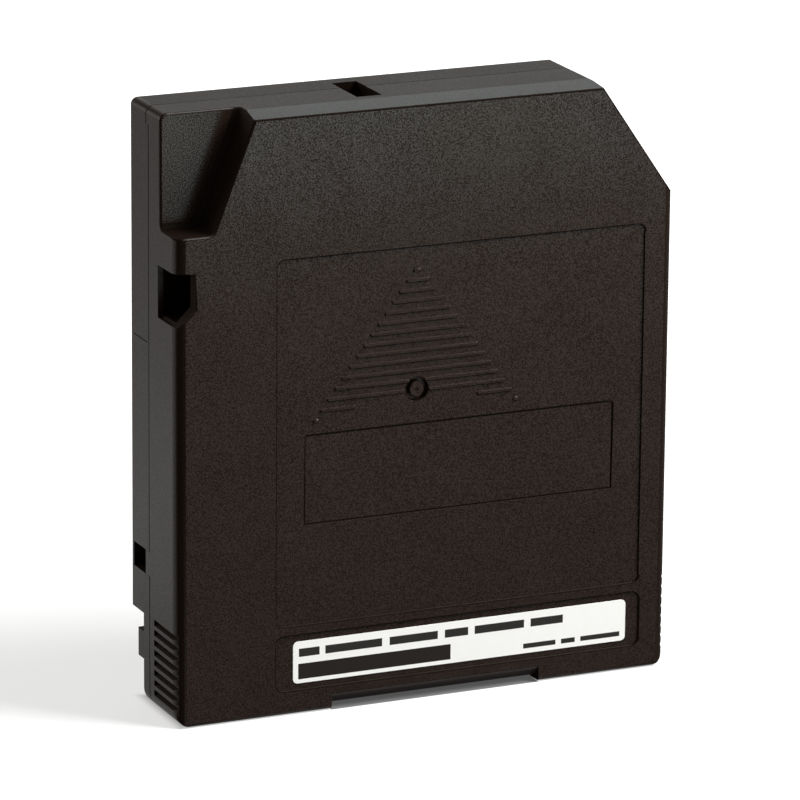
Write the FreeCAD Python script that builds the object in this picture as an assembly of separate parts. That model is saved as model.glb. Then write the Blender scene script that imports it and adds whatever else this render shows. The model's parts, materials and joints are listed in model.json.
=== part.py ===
"""Half-inch tape cleaning cartridge: two shells with a reel, brake, door and leader inside them.

Lengths are millimetres. The pieces are drawn in case coordinates: x from the left side, y from the
labelled front face to the back, z from the rear edge that it stands on to the end that goes in first.
"""
import FreeCAD, Part
import math
import os

V = FreeCAD.Vector

# Case envelope
WIDTH = 109.0
DEPTH = 24.5
LENGTH = 125.0
WALL = 2.0
FRONT_EDGE_R = 2.4
BACK_EDGE_R = 0.5
REAR_EDGE_R = 0.8
REAR_CORNER_R = 3.4
TOP_CORNER_R = 1.8
CUT_CORNER_X = 92.1
CUT_CORNER_Z = 100.3
CUT_CORNER_R = 1.0
BEVEL_RUN = 5.5
BEVEL_RISE = 1.0

# Joint between the shells
PARTING_Y = 14.6
END_PARTING_Y = 15.9
END_PARTING_Z = 121.5
PARTING_GROOVE = 0.25
PARTING_GROOVE_DEPTH = 0.5

# Stepped corner at the upper left of the front face
STEP_DEPTH = 8.6
STEP_Z = 101.5
STEP_LOW_X = 7.9
STEP_TOP_X = 17.0
STEP_CORNER_R = 1.6
STEP_ROOT_R = 1.5
STEP_EDGE_R = 0.6

# Gripper notch in the left front edge, and the wider pocket behind its mouth
NOTCH_WIDTH = 4.2
NOTCH_LOW_Z = 83.3
NOTCH_HIGH_Z = 94.1
NOTCH_CUT = 3.5
NOTCH_DEPTH = 9.8
NOTCH_POCKET_X = (1.2, 7.6)
NOTCH_POCKET_Y = (3.0, 11.4)
POCKET_WALL = 1.2

# Fields sunk into the front face
PANEL = (21.75, 18.8, 102.6, 94.9)
PANEL_DEPTH = 0.4
PANEL_R = 1.6
INNER_FIELD = (27.75, 39.6, 96.15, 58.3)
INNER_FIELD_DEPTH = 0.2
INNER_FIELD_R = 0.8
LABEL_FIELD = (21.65, 5.15, 102.7, 16.5)
LABEL_FIELD_R = 1.6
LABEL = (25.35, 6.35, 99.85, 15.2)
LABEL_R = 1.0
LABEL_THICKNESS = 0.15

# Insertion arrow of raised bars over the reel axis
REEL_X = 52.2
REEL_Z = 65.4
ARROW_APEX_Z = 91.6
ARROW_FIRST_Z = 90.2
ARROW_PITCH = 2.08
ARROW_COUNT = 15
ARROW_SLOPE = 0.745
ARROW_BASE_R = 68.5
ARROW_BASE_Z = 64.45
ARROW_BAR_WIDTH = 0.95
ARROW_BAR_HEIGHT = 0.25
ARROW_BAR_FLANK = 0.22
ARROW_BAR_SINK = 0.1
BAR_END_CUT = 0.6
RING_R = 2.05
RING_WIDTH = 0.8
RING_DEPTH = 1.1
RING_DOT_DEPTH = 0.3
RING_DOT_R = 0.4

# Finger grip grooves low on both sides
GRIP_COUNT = 8
GRIP_FIRST_Z = 4.1
GRIP_PITCH = 2.12
GRIP_WIDTH = 1.15
GRIP_FLOOR_WIDTH = 0.3
GRIP_DEPTH = 0.7
GRIP_END_Y = 12.3

# Finger scoop under the front of the rear edge
SCOOP_X = (33.85, 80.1)
SCOOP_RISE = 3.3
SCOOP_RUN = 5.0
SCOOP_MIDDLE = (3.1, 2.1)

# Slot in the end face
SLOT_X = (41.8, 47.2)
SLOT_Y = (7.6, 20.6)
SLOT_FLOOR_Z = 116.0

# Window in the left side of the lower shell, with the tab of the upper shell over it
WINDOW_Y = (16.85, 23.25)
WINDOW_Z = (27.95, 33.05)
WINDOW_DEPTH = 7.0
SIDE_LINE_Z = 76.7
SIDE_LINE_Y = (15.7, 22.7)
SIDE_LINE_SIZE = 0.2

# Notch in the rear left corner of the lower shell, with the lug that stands in it
CORNER_NOTCH_X = 3.6
CORNER_NOTCH_Y = 18.05
CORNER_NOTCH_Z = 19.2
LUG_X = 1.35
LUG_Z = (8.2, 14.2)

# Back face: gear opening, datum holes and screws
GEAR_OPENING_R = 17.0
DATUM_R = 2.5
DATUM_DEPTH = 2.9
DATUM_LEFT = (8.0, 41.0)
DATUM_RIGHT = (101.0, 41.0)
DATUM_SLOT = 7.0
SCREW_PLACES = [(15.0, 22.0), (101.0, 24.0), (7.0, 112.0), (84.0, 118.0)]
SCREW_SEAT_Y = 18.0
SCREW_HEAD_R = 2.0
SCREW_HEAD_HEIGHT = 1.3
SCREW_R = 1.0
SCREW_TIP_Y = 11.3
BOSS_R = 3.2
BOSS_HOLE_R = 2.25

# Reel, along y from the front flange to the drive gear
FLANGE_R = 46.0
HUB_R = 22.0
HUB_INNER_R = 19.5
FRONT_FLANGE_Y = (5.3, 6.3)
BACK_FLANGE_Y = (19.2, 20.4)
HUB_FLOOR_Y = (18.6, 20.6)
GEAR_BOSS_R = 16.0
GEAR_BOSS_INNER_R = 9.6
GEAR_BOSS_Y = 22.8
GEAR_TEETH = 36
GEAR_R = (12.6, 15.6)
GEAR_TOOTH = 0.9
PLATE_R = (3.5, 9.4)
PLATE_THICKNESS = 1.0
PACK_R = 30.0
PACK_GAP = 0.02
TAPE_WIDTH = 12.65

# Brake and its release pad, inside the hub
LOCK_TEETH = 24
LOCK_R = (15.5, 18.5)
LOCK_TOOTH = 1.0
LOCK_ROOT_Y = 17.45
BRAKE_R = 18.7
BRAKE_RELIEF_R = 14.3
BRAKE_Y = (14.6, 16.4)
BRAKE_NOSE_R = 4.0
BRAKE_NOSE_Y = 17.0
BRAKE_TUBE_R = (4.0, 6.6)
BRAKE_TUBE_Y = 8.0
KEY_SLOT = 2.3
KEY_SLOT_Y = 13.8
POST_R = 3.6
POST_END_Y = 11.4
KEY_WIDTH = 1.8
KEY_R = 5.4
BRAKE_SPRING_R = 8.0
BRAKE_SPRING_WIRE_R = 0.4
BRAKE_SPRING_TURNS = 5
PAD_R = 12.4
PAD_Y = (17.05, 18.25)
PAD_LEGS = 3
PAD_LEG_R = 1.1
PAD_LEG_CIRCLE_R = 11.0
PAD_LEG_END_Y = 22.7
PAD_LEG_HOLE_R = 1.35

# Curved door behind the cut corner
DOOR_CENTRE = (26.0, 79.1)
DOOR_R = 80.0
DOOR_THICKNESS = 1.6
DOOR_ANGLES = (14.4, 33.0)
DOOR_Y = (3.0, 21.5)
DOOR_LUG_ANGLE = 16.5
DOOR_LUG_R = 76.4
DOOR_LUG_Y = (9.5, 15.0)
DOORWAY_ALONG = (2.2, 22.0)
DOORWAY_INWARD = 8.0
DOORWAY_Y = (2.6, 21.9)
GUIDE_R = (76.6, 77.6)
GUIDE_ANGLES = (-4.0, 13.0)
GUIDE_HEIGHT = 1.5
DOOR_SPRING_SEAT = (104.2, 44.6)
DOOR_SPRING_TOP = (102.75, 98.4)
DOOR_SPRING_R = 1.75
DOOR_SPRING_WIRE_R = 0.25
DOOR_SPRING_TURNS = 10

# Leader pin, its clip and spring, and the strand of tape that they hold
PIN_PLACE = (90.5, 108.0)
PIN_Y = (3.2, 21.3)
PIN_R = 1.5
PIN_END_R = 2.6
PIN_END_LENGTH = 1.4
CLIP_R = 2.5
CLIP_GAP_DEG = 70.0
SADDLE_R = (2.65, 3.9)
SADDLE_HEIGHT = 2.4
PIN_SPRING_R = (1.6, 2.0)
PIN_SPRING_ARM = 0.6
PIN_SPRING_ARM_GAP = 0.15
PIN_SPRING_STRIP = 4.0
PIN_SPRING_THICKNESS = 0.4
PIN_SPRING_WRAP_DEG = 215.0
SPRING_RIB = 1.0
SEAT_GAP = 0.05
STRAND_THICKNESS = 0.1

# Memory board, tilted towards the edge between the back and the rear
BOARD_X = (84.0, 102.0)
BOARD_WIDTH = 9.0
BOARD_THICKNESS = 0.8
BOARD_MIDDLE = (18.6, 6.2)
BOARD_TILT_DEG = 45.0
BOARD_RIB = 1.6
CHIP_SIZE = (4.0, 3.0, 0.6)

# Write protect switch behind a window in the rear edge
SWITCH_X = (10.0, 19.0)
SWITCH_Y = (15.6, 21.4)
SWITCH_Z = (2.1, 3.9)
SWITCH_TRAVEL = 3.0
NUB_X = (12.8, 16.2)
NUB_Y = (16.9, 20.1)
NUB_Z = 0.5
SWITCH_PLAY = 0.3
SWITCH_KEEPER = 1.0

COIL_FACETS = 8
WIRE_FACETS = 4
MARGIN = 3.0
PLACES = {
    "x": lambda a, b, d: V(d, a, b),
    "y": lambda a, b, d: V(a, d, b),
    "z": lambda a, b, d: V(a, b, d),
}
AXES = {"x": V(1, 0, 0), "y": V(0, 1, 0), "z": V(0, 0, 1)}


def corner(before, point, after, radius):
    """Return the start, middle and end of the arc that rounds one corner of an outline."""
    here = V(*point, 0)
    back = (V(*before, 0) - here).normalize()
    ahead = (V(*after, 0) - here).normalize()
    half = back.getAngle(ahead) / 2
    reach = radius / math.tan(half)
    inward = (back + ahead).normalize() * (radius / math.sin(half) - radius)
    return here + back * reach, here + inward, here + ahead * reach


def outline(points, radii, along, at):
    """Return a closed wire of straight runs with rounded corners, square to one axis."""
    count = len(points)
    if not isinstance(radii, (list, tuple)):
        radii = [radii] * count
    place = PLACES[along]
    corners = []
    for index, point in enumerate(points):
        if radii[index]:
            corners.append(corner(points[index - 1], point, points[(index + 1) % count], radii[index]))
        else:
            corners.append((V(*point, 0), None, V(*point, 0)))
    edges = []
    for index, (start, middle, end) in enumerate(corners):
        start, end = place(start.x, start.y, at), place(end.x, end.y, at)
        if middle:
            edges.append(Part.Arc(start, place(middle.x, middle.y, at), end).toShape())
        following = corners[(index + 1) % count][0]
        following = place(following.x, following.y, at)
        if end.distanceToPoint(following) > 1e-6:
            edges.append(Part.LineSegment(end, following).toShape())
    return Part.Wire(edges)


def prism(along, points, low, high, radii=0.0):
    """Extrude an outline along one axis."""
    return Part.Face(outline(points, radii, along, low)).extrude(AXES[along] * (high - low))


def box(xs, ys, zs):
    """Return a block between two corners."""
    return Part.makeBox(xs[1] - xs[0], ys[1] - ys[0], zs[1] - zs[0], V(xs[0], ys[0], zs[0]))


def rod(place, radius, low, high):
    """Return a cylinder along y at a place (x, z)."""
    return Part.makeCylinder(radius, high - low, V(place[0], low, place[1]), AXES["y"])


def tube(place, radii, low, high):
    """Return a tube along y."""
    return rod(place, radii[1], low, high).cut(rod(place, radii[0], low - MARGIN, high + MARGIN))


def sector(place, radii, angles, low, high):
    """Return a piece of a tube along y between two angles, counted from +x towards +z."""
    def point(radius, degrees):
        angle = math.radians(degrees)
        return V(place[0] + radius * math.cos(angle), low, place[1] + radius * math.sin(angle))
    inner, outer = radii
    first, last = angles
    middle = (first + last) / 2
    edges = [
        Part.LineSegment(point(inner, first), point(outer, first)).toShape(),
        Part.Arc(point(outer, first), point(outer, middle), point(outer, last)).toShape(),
        Part.LineSegment(point(outer, last), point(inner, last)).toShape(),
        Part.Arc(point(inner, last), point(inner, middle), point(inner, first)).toShape(),
    ]
    return Part.Face(Part.Wire(edges)).extrude(V(0, high - low, 0))


def inset(points, distance):
    """Move every side of a counter-clockwise outline inwards, or outwards if negative."""
    moved = []
    for index, point in enumerate(points):
        before, after = points[index - 1], points[(index + 1) % len(points)]
        sides = []
        for start, end in ((before, point), (point, after)):
            run = (V(*end, 0) - V(*start, 0)).normalize()
            normal = V(-run.y, run.x, 0)
            sides.append((normal, normal.dot(V(*point, 0)) + distance))
        (first, reach), (second, limit) = sides
        turn = first.x * second.y - first.y * second.x
        x = (reach * second.y - limit * first.y) / turn
        y = (first.x * limit - second.x * reach) / turn
        moved.append((x, y))
    return moved


def rectangle(field):
    """Return the corners of a field (left, low, right, high), counter-clockwise."""
    left, low, right, high = field
    return [(left, low), (right, low), (right, high), (left, high)]


def face_teeth(count, radii, root, tip, sink, turned=0.0):
    """Return a ring of radial teeth on a face square to y, each wider towards the rim."""
    share = 0.8
    wires = []
    for radius in radii:
        half = share * math.pi * radius / count
        corners = [V(radius, sink, -half), V(radius, root, -half), V(radius, tip, 0), V(radius, root, half)]
        corners.append(V(radius, sink, half))
        wires.append(Part.makePolygon(corners + corners[:1]))
    tooth = Part.makeLoft(wires, True, True)
    teeth = []
    for index in range(count):
        copy = tooth.copy()
        copy.rotate(V(0, 0, 0), AXES["y"], 360.0 * (index + turned) / count)
        copy.translate(V(REEL_X, 0, REEL_Z))
        teeth.append(copy)
    return teeth


def coil(start, end, radius, wire_r, turns):
    """Return a compression spring between two points, in straight facets, with its wire inside both ends."""
    run = end - start
    length = run.Length - 2 * wire_r
    steps = turns * COIL_FACETS
    path = []
    for step in range(steps + 1):
        angle = 2 * math.pi * step / COIL_FACETS
        path.append(V(radius * math.cos(angle), radius * math.sin(angle), length * step / steps))
    towards = path[1] - path[0]
    ring = []
    for corner_index in range(WIRE_FACETS):
        angle = 2 * math.pi * corner_index / WIRE_FACETS
        ring.append(V(wire_r * math.cos(angle), wire_r * math.sin(angle), 0))
    section = Part.makePolygon(ring + ring[:1])
    section.Placement = FreeCAD.Placement(path[0], FreeCAD.Rotation(AXES["z"], towards))
    sweep = Part.BRepOffsetAPI.MakePipeShell(Part.makePolygon(path))
    sweep.setTransitionMode(1)
    sweep.add(section)
    sweep.build()
    sweep.makeSolid()
    spring = sweep.shape()
    seat = start + V(run).normalize() * wire_r
    spring.Placement = FreeCAD.Placement(seat, FreeCAD.Rotation(AXES["z"], run))
    return spring


def edges_near(shape, low, high):
    """Return the edges that lie wholly inside a block."""
    area = FreeCAD.BoundBox(V(*low), V(*high))
    return [edge for edge in shape.Edges if area.isInside(edge.BoundBox)]


CASE_OUTLINE = [(0, 0), (WIDTH, 0), (WIDTH, CUT_CORNER_Z), (CUT_CORNER_X, LENGTH), (0, LENGTH)]
CUT_RUN = V(WIDTH - CUT_CORNER_X, CUT_CORNER_Z - LENGTH, 0).normalize()
CUT_INWARD = V(CUT_RUN.y, -CUT_RUN.x, 0)
STEP_SLOPE = (STEP_TOP_X - STEP_LOW_X) / (LENGTH - STEP_Z)
STEP_OUTLINE = [
    (-MARGIN, STEP_Z),
    (STEP_LOW_X, STEP_Z),
    (STEP_TOP_X + MARGIN * STEP_SLOPE, LENGTH + MARGIN),
    (-MARGIN, LENGTH + MARGIN),
]
REEL_PLACE = (REEL_X, REEL_Z)


def case_blank():
    """Return the closed outer form: the front outline, the side section and the end section, crossed."""
    corners = [REAR_CORNER_R, REAR_CORNER_R, CUT_CORNER_R, CUT_CORNER_R, TOP_CORNER_R]
    front = prism("y", CASE_OUTLINE, 0, DEPTH, corners)
    end = [(0, 0), (WIDTH, 0), (WIDTH, DEPTH), (0, DEPTH)]
    across = prism("z", end, 0, LENGTH, [FRONT_EDGE_R, FRONT_EDGE_R, BACK_EDGE_R, BACK_EDGE_R])
    side = [(0, 0), (DEPTH, 0), (DEPTH, LENGTH), (BEVEL_RUN, LENGTH), (0, LENGTH - BEVEL_RISE)]
    along = prism("x", side, 0, WIDTH, [REAR_EDGE_R, BACK_EDGE_R, BACK_EDGE_R, 0, 0])
    return front.common(across).common(along)


def stepped(blank):
    """Cut the stepped corner, blend its walls into its floor and round its open edges."""
    near = 0.01
    low, high = STEP_DEPTH - near, STEP_DEPTH + near
    tool = prism("y", STEP_OUTLINE, -MARGIN, STEP_DEPTH, [0, STEP_CORNER_R, 0, 0])
    root = []
    for edge in edges_near(tool, (-2 * MARGIN, low, 0), (WIDTH, high, LENGTH + 2 * MARGIN)):
        middle = edge.CenterOfMass
        if middle.x > -MARGIN + near and middle.z < LENGTH + MARGIN - near:
            root.append(edge)
    cut = blank.cut(tool.makeFillet(STEP_ROOT_R, root))
    floor = edges_near(cut, (-near, low, STEP_Z - near), (WIDTH, high, LENGTH + near))
    rim = []
    for edge in floor:
        middle = edge.CenterOfMass
        if middle.x < TOP_CORNER_R / 2 or middle.z > LENGTH - TOP_CORNER_R / 2:
            rim.append(edge)
    return cut.makeFillet(STEP_EDGE_R, rim)


def notch_cuts():
    """Return the gripper notch's mouth and the wider pocket behind it."""
    mouth = [
        (-MARGIN, NOTCH_LOW_Z),
        (NOTCH_WIDTH - NOTCH_CUT, NOTCH_LOW_Z),
        (NOTCH_WIDTH, NOTCH_LOW_Z + NOTCH_CUT),
        (NOTCH_WIDTH, NOTCH_HIGH_Z),
        (-MARGIN, NOTCH_HIGH_Z),
    ]
    pocket = box(NOTCH_POCKET_X, NOTCH_POCKET_Y, (NOTCH_LOW_Z, NOTCH_HIGH_Z))
    return [prism("y", mouth, -MARGIN, NOTCH_DEPTH), pocket]


def arrow_bar(first, last, z):
    """Return one raised bar with clipped ends and sloping flanks."""
    wires = []
    top = PANEL_DEPTH - ARROW_BAR_HEIGHT
    for level, shrink in ((PANEL_DEPTH + ARROW_BAR_SINK, 0.0), (PANEL_DEPTH, 0.0), (top, ARROW_BAR_FLANK)):
        half = ARROW_BAR_WIDTH / 2 - shrink
        flat = half * (1 - BAR_END_CUT)
        left, right = first + shrink, last - shrink
        inner = left + half - flat, right - half + flat
        points = [(left, z - flat), (inner[0], z - half), (inner[1], z - half), (right, z - flat)]
        points += [(right, z + flat), (inner[1], z + half), (inner[0], z + half), (left, z + flat)]
        wires.append(outline(points, 0.0, "y", level))
    root = Part.Face(wires[0]).extrude(V(0, -ARROW_BAR_SINK, 0))
    return root.fuse(Part.makeLoft(wires[1:], True, True))


def arrow_bars():
    """Return the bars of the insertion arrow, shorter towards the tip, parted by the ring and the base."""
    circles = [(REEL_Z, RING_R + RING_WIDTH / 2), (ARROW_BASE_Z - ARROW_BASE_R, ARROW_BASE_R)]
    shortest = ARROW_BAR_WIDTH / 2 + ARROW_BAR_FLANK / 2
    bars = []
    for index in range(ARROW_COUNT):
        z = ARROW_FIRST_Z - index * ARROW_PITCH
        reach = max((ARROW_APEX_Z - z) * ARROW_SLOPE, shortest)
        bare = max(math.sqrt(max(radius ** 2 - (z - middle) ** 2, 0.0)) for middle, radius in circles)
        spans = [(-reach, -bare), (bare, reach)] if bare else [(-reach, reach)]
        bars += [arrow_bar(REEL_X + first, REEL_X + last, z) for first, last in spans]
    return bars


def ring_mark():
    """Return the round groove and the small dot over the reel axis."""
    floor = PANEL_DEPTH
    half = RING_WIDTH / 2
    groove = tube(REEL_PLACE, (RING_R - half, RING_R + half), -MARGIN, floor + RING_DEPTH)
    return [groove, rod(REEL_PLACE, RING_DOT_R, -MARGIN, floor + RING_DOT_DEPTH)]


def grip_grooves():
    """Return the finger grip grooves of both sides."""
    grooves = []
    for index in range(GRIP_COUNT):
        z = GRIP_FIRST_Z + index * GRIP_PITCH
        for side, inward in ((0.0, 1.0), (WIDTH, -1.0)):
            section = [
                (side - inward * GRIP_DEPTH, z - GRIP_WIDTH),
                (side + inward * GRIP_DEPTH, z - GRIP_FLOOR_WIDTH / 2),
                (side + inward * GRIP_DEPTH, z + GRIP_FLOOR_WIDTH / 2),
                (side - inward * GRIP_DEPTH, z + GRIP_WIDTH),
            ]
            grooves.append(prism("y", section, -MARGIN, GRIP_END_Y))
    return grooves


def finger_scoop():
    """Return the hollow under the front of the rear edge."""
    x = SCOOP_X[0]
    path = [V(x, -MARGIN, -MARGIN), V(x, -MARGIN, SCOOP_RISE), V(x, 0, SCOOP_RISE)]
    edges = [Part.makePolygon(path).Edges[index] for index in range(2)]
    edges.append(Part.Arc(V(x, 0, SCOOP_RISE), V(x, *SCOOP_MIDDLE), V(x, SCOOP_RUN, 0)).toShape())
    edges += Part.makePolygon([V(x, SCOOP_RUN, 0), V(x, SCOOP_RUN, -MARGIN), path[0]]).Edges
    return Part.Face(Part.Wire(edges)).extrude(V(SCOOP_X[1] - x, 0, 0))


def front_fields():
    """Return the shallow fields sunk into the front face."""
    panel = prism("y", rectangle(PANEL), -MARGIN, PANEL_DEPTH, PANEL_R)
    inner = prism("y", rectangle(INNER_FIELD), -MARGIN, PANEL_DEPTH + INNER_FIELD_DEPTH, INNER_FIELD_R)
    label = prism("y", rectangle(LABEL_FIELD), -MARGIN, PANEL_DEPTH, LABEL_FIELD_R)
    return [panel, inner, label]


def corner_notch():
    """Return the rear left notch of the lower shell, less the lug that stands in it."""
    notch = box((-MARGIN, CORNER_NOTCH_X), (CORNER_NOTCH_Y, DEPTH + MARGIN), (-MARGIN, CORNER_NOTCH_Z))
    return notch.cut(box((LUG_X, CORNER_NOTCH_X), (0, DEPTH + MARGIN), LUG_Z))


def end_slot():
    """Return the slot in the end face."""
    return box(SLOT_X, SLOT_Y, (SLOT_FLOOR_Z, LENGTH + MARGIN))


def side_window():
    """Return the window in the left side."""
    return box((-MARGIN, WINDOW_DEPTH), WINDOW_Y, WINDOW_Z)


def doorway():
    """Return the opening through the cut corner that the leader leaves by."""
    start = V(CUT_CORNER_X, LENGTH, 0)
    corners = []
    for along, inward in ((1, -MARGIN), (1, DOORWAY_INWARD), (0, DOORWAY_INWARD), (0, -MARGIN)):
        point = start + CUT_RUN * DOORWAY_ALONG[along] + CUT_INWARD * inward
        corners.append((point.x, point.y))
    return prism("y", corners, *DOORWAY_Y)


def pocket_walls():
    """Return the blocks that stay solid round every pocket, inside the hollow case."""
    wide = POCKET_WALL
    step = prism("y", inset(STEP_OUTLINE, -WALL), 0, STEP_DEPTH + WALL)
    notch_y = (0, NOTCH_POCKET_Y[1] + wide)
    notch = box((0, NOTCH_POCKET_X[1] + wide), notch_y, (NOTCH_LOW_Z - wide, NOTCH_HIGH_Z + wide))
    slot_x = (SLOT_X[0] - wide, SLOT_X[1] + wide)
    slot = box(slot_x, (SLOT_Y[0] - wide, SLOT_Y[1] + wide), (SLOT_FLOOR_Z - wide, LENGTH))
    window_y = (PARTING_Y, DEPTH)
    window = box((0, WINDOW_DEPTH + wide), window_y, (WINDOW_Z[0] - wide, WINDOW_Z[1] + wide))
    rear_y = (CORNER_NOTCH_Y - WALL, DEPTH)
    rear = box((0, CORNER_NOTCH_X + WALL), rear_y, (0, CORNER_NOTCH_Z + WALL))
    scoop_x = (SCOOP_X[0] - wide, SCOOP_X[1] + wide)
    scoop = box(scoop_x, (0, SCOOP_RUN + wide), (0, SCOOP_RISE + WALL))
    return [step, notch, slot, window, rear, scoop]


def hollow():
    """Return the space inside the case."""
    space = prism("y", inset(CASE_OUTLINE, WALL), WALL, DEPTH - WALL)
    return space.cut(pocket_walls())


def upper_zone():
    """Return the part of the case that belongs to the upper shell."""
    main = box((-MARGIN, WIDTH + MARGIN), (-MARGIN, PARTING_Y), (-MARGIN, LENGTH + MARGIN))
    end = box((-MARGIN, WIDTH + MARGIN), (0, END_PARTING_Y), (END_PARTING_Z, LENGTH + MARGIN))
    tab = box((-MARGIN, WALL), (0, WINDOW_Y[0]), WINDOW_Z)
    return main.fuse([end, tab])


def parting_groove():
    """Return the fine groove between the shells, taken from the lower one."""
    low, high = PARTING_Y, PARTING_Y + PARTING_GROOVE
    inner = inset(CASE_OUTLINE, PARTING_GROOVE_DEPTH)
    around = prism("y", inset(CASE_OUTLINE, -MARGIN), low, high).cut(prism("y", inner, low, high))
    sides = around.cut(box((-MARGIN, WIDTH + MARGIN), (0, DEPTH), (END_PARTING_Z, LENGTH + MARGIN)))
    step = END_PARTING_Y - PARTING_Y
    raised = around.translated(V(0, step, 0))
    end = raised.common(box((-MARGIN, WIDTH + MARGIN), (0, DEPTH), (END_PARTING_Z, LENGTH + MARGIN)))
    return [sides, end]


def across_doorway(near, far, half):
    """Return the corners of a field by the pin, between two distances inwards from it."""
    middle = V(*PIN_PLACE, 0)
    aside = V(-CUT_INWARD.y, CUT_INWARD.x, 0) * half
    corners = [middle + CUT_INWARD * near - aside, middle + CUT_INWARD * far - aside,
               middle + CUT_INWARD * far + aside, middle + CUT_INWARD * near + aside]
    return [(point.x, point.y) for point in corners]


def saddle(wall, pin_end, inward):
    """Return the seat for one end of the leader pin, open towards the doorway, with its spring's rib."""
    rim = wall + inward * SADDLE_HEIGHT
    low, high = sorted((wall, rim))
    ring = tube(PIN_PLACE, SADDLE_R, low, high)
    mouth = across_doorway(-SADDLE_R[1] - MARGIN, 0, SADDLE_R[0])
    ring = ring.cut(prism("y", mouth, low - MARGIN, high + MARGIN))
    floor = rod(PIN_PLACE, SADDLE_R[1], *sorted((wall, pin_end - inward * SEAT_GAP)))
    behind = SADDLE_R[1] + PIN_SPRING_THICKNESS + 2 * SEAT_GAP
    rib = prism("y", across_doorway(behind, behind + SPRING_RIB, PIN_SPRING_STRIP / 2), low, high)
    return ring.fuse([floor, rib])


def door_guide(low, high):
    """Return the curved rib that the open door slides along."""
    return sector(DOOR_CENTRE, GUIDE_R, GUIDE_ANGLES, low, high)


def upper_shell(blank, space):
    """Return the front half of the case, with the labelled face, the brake's post and the screw bosses."""
    shell = blank.common(upper_zone()).cut(space)
    shell = shell.cut(front_fields() + grip_grooves()).fuse(arrow_bars())
    post = rod(REEL_PLACE, POST_R, WALL / 2, POST_END_Y)
    keys = box((REEL_X - KEY_R, REEL_X + KEY_R), (WALL / 2, POST_END_Y),
               (REEL_Z - KEY_WIDTH / 2, REEL_Z + KEY_WIDTH / 2))
    added = [post, keys, saddle(WALL, PIN_Y[0], 1), door_guide(WALL, WALL + GUIDE_HEIGHT)]
    added += [rod(place, BOSS_R, WALL, PARTING_Y) for place in SCREW_PLACES[:2] + SCREW_PLACES[3:]]
    added.append(rod(SCREW_PLACES[2], BOSS_R, STEP_DEPTH + WALL, PARTING_Y))
    shell = shell.fuse(added)
    holes = [rod(place, SCREW_R, SCREW_TIP_Y, PARTING_Y + MARGIN) for place in SCREW_PLACES]
    return shell.cut(holes + ring_mark() + [doorway()])


def datum_cuts():
    """Return the round datum hole and the slotted one."""
    low, high = DEPTH - DATUM_DEPTH, DEPTH + MARGIN
    half = DATUM_SLOT / 2
    slot = [DATUM_RIGHT[0] - half, DATUM_RIGHT[1] - DATUM_R, DATUM_RIGHT[0] + half, DATUM_RIGHT[1] + DATUM_R]
    ends = 0.98 * DATUM_R
    return [rod(DATUM_LEFT, DATUM_R, low, high), prism("y", rectangle(slot), low, high, ends)]


def datum_bosses():
    """Return the floors under the datum holes."""
    low = DEPTH - DATUM_DEPTH - POCKET_WALL
    wide = DATUM_R + POCKET_WALL
    half = DATUM_SLOT / 2 + POCKET_WALL
    slot = [DATUM_RIGHT[0] - half, DATUM_RIGHT[1] - wide, DATUM_RIGHT[0] + half, DATUM_RIGHT[1] + wide]
    return [rod(DATUM_LEFT, wide, low, DEPTH - WALL), prism("y", rectangle(slot), low, DEPTH - WALL, DATUM_R)]


def memory_board(grow=0.0):
    """Return the tilted memory board, or the room for it."""
    half_width, half_thick = BOARD_WIDTH / 2 + grow, BOARD_THICKNESS / 2 + grow
    board = box((BOARD_X[0] - grow, BOARD_X[1] + grow), (-half_width, half_width), (-half_thick, half_thick))
    board.rotate(V(0, 0, 0), AXES["x"], BOARD_TILT_DEG)
    return board.translated(V(0, *BOARD_MIDDLE))


def memory_chip():
    """Return the chip on the inner face of the memory board."""
    long, wide, thick = CHIP_SIZE
    base = BOARD_THICKNESS / 2
    middle = sum(BOARD_X) / 2
    chip = box((middle - long / 2, middle + long / 2), (-wide / 2, wide / 2), (base, base + thick))
    chip.rotate(V(0, 0, 0), AXES["x"], BOARD_TILT_DEG)
    return chip.translated(V(0, *BOARD_MIDDLE))


def board_ribs():
    """Return the two slotted ribs that hold the ends of the memory board."""
    ribs = []
    for end, inward in ((BOARD_X[0], 1.0), (BOARD_X[1], -1.0)):
        xs = sorted((end - inward * BOARD_RIB / 2, end + inward * BOARD_RIB / 2))
        reach = BOARD_WIDTH / 2
        ys = (PARTING_Y + PARTING_GROOVE, DEPTH - WALL / 2)
        zs = (WALL / 2, BOARD_MIDDLE[1] + reach)
        ribs.append(box(xs, ys, zs).cut(memory_board(SEAT_GAP)))
    return ribs


def switch_cuts():
    """Return the window in the rear edge that the switch's nub moves in."""
    xs = (NUB_X[0] - SWITCH_PLAY, NUB_X[1] + SWITCH_TRAVEL + SWITCH_PLAY)
    return box(xs, (NUB_Y[0] - SWITCH_PLAY, NUB_Y[1] + SWITCH_PLAY), (-MARGIN, WALL + MARGIN / 10))


def switch_keeper():
    """Return the rib that keeps the switch against the rear edge, and the rail beside it."""
    xs = (SWITCH_X[0] - SWITCH_KEEPER, SWITCH_X[1] + SWITCH_TRAVEL + SWITCH_KEEPER)
    low = SWITCH_Z[1] + SWITCH_PLAY
    keeper = box(xs, (SWITCH_Y[0], DEPTH - WALL / 2), (low, low + SWITCH_KEEPER))
    rail = box(xs, (SWITCH_Y[1] + SWITCH_PLAY, DEPTH - WALL / 2), (WALL / 2, low + SWITCH_KEEPER))
    return [keeper, rail]


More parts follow.
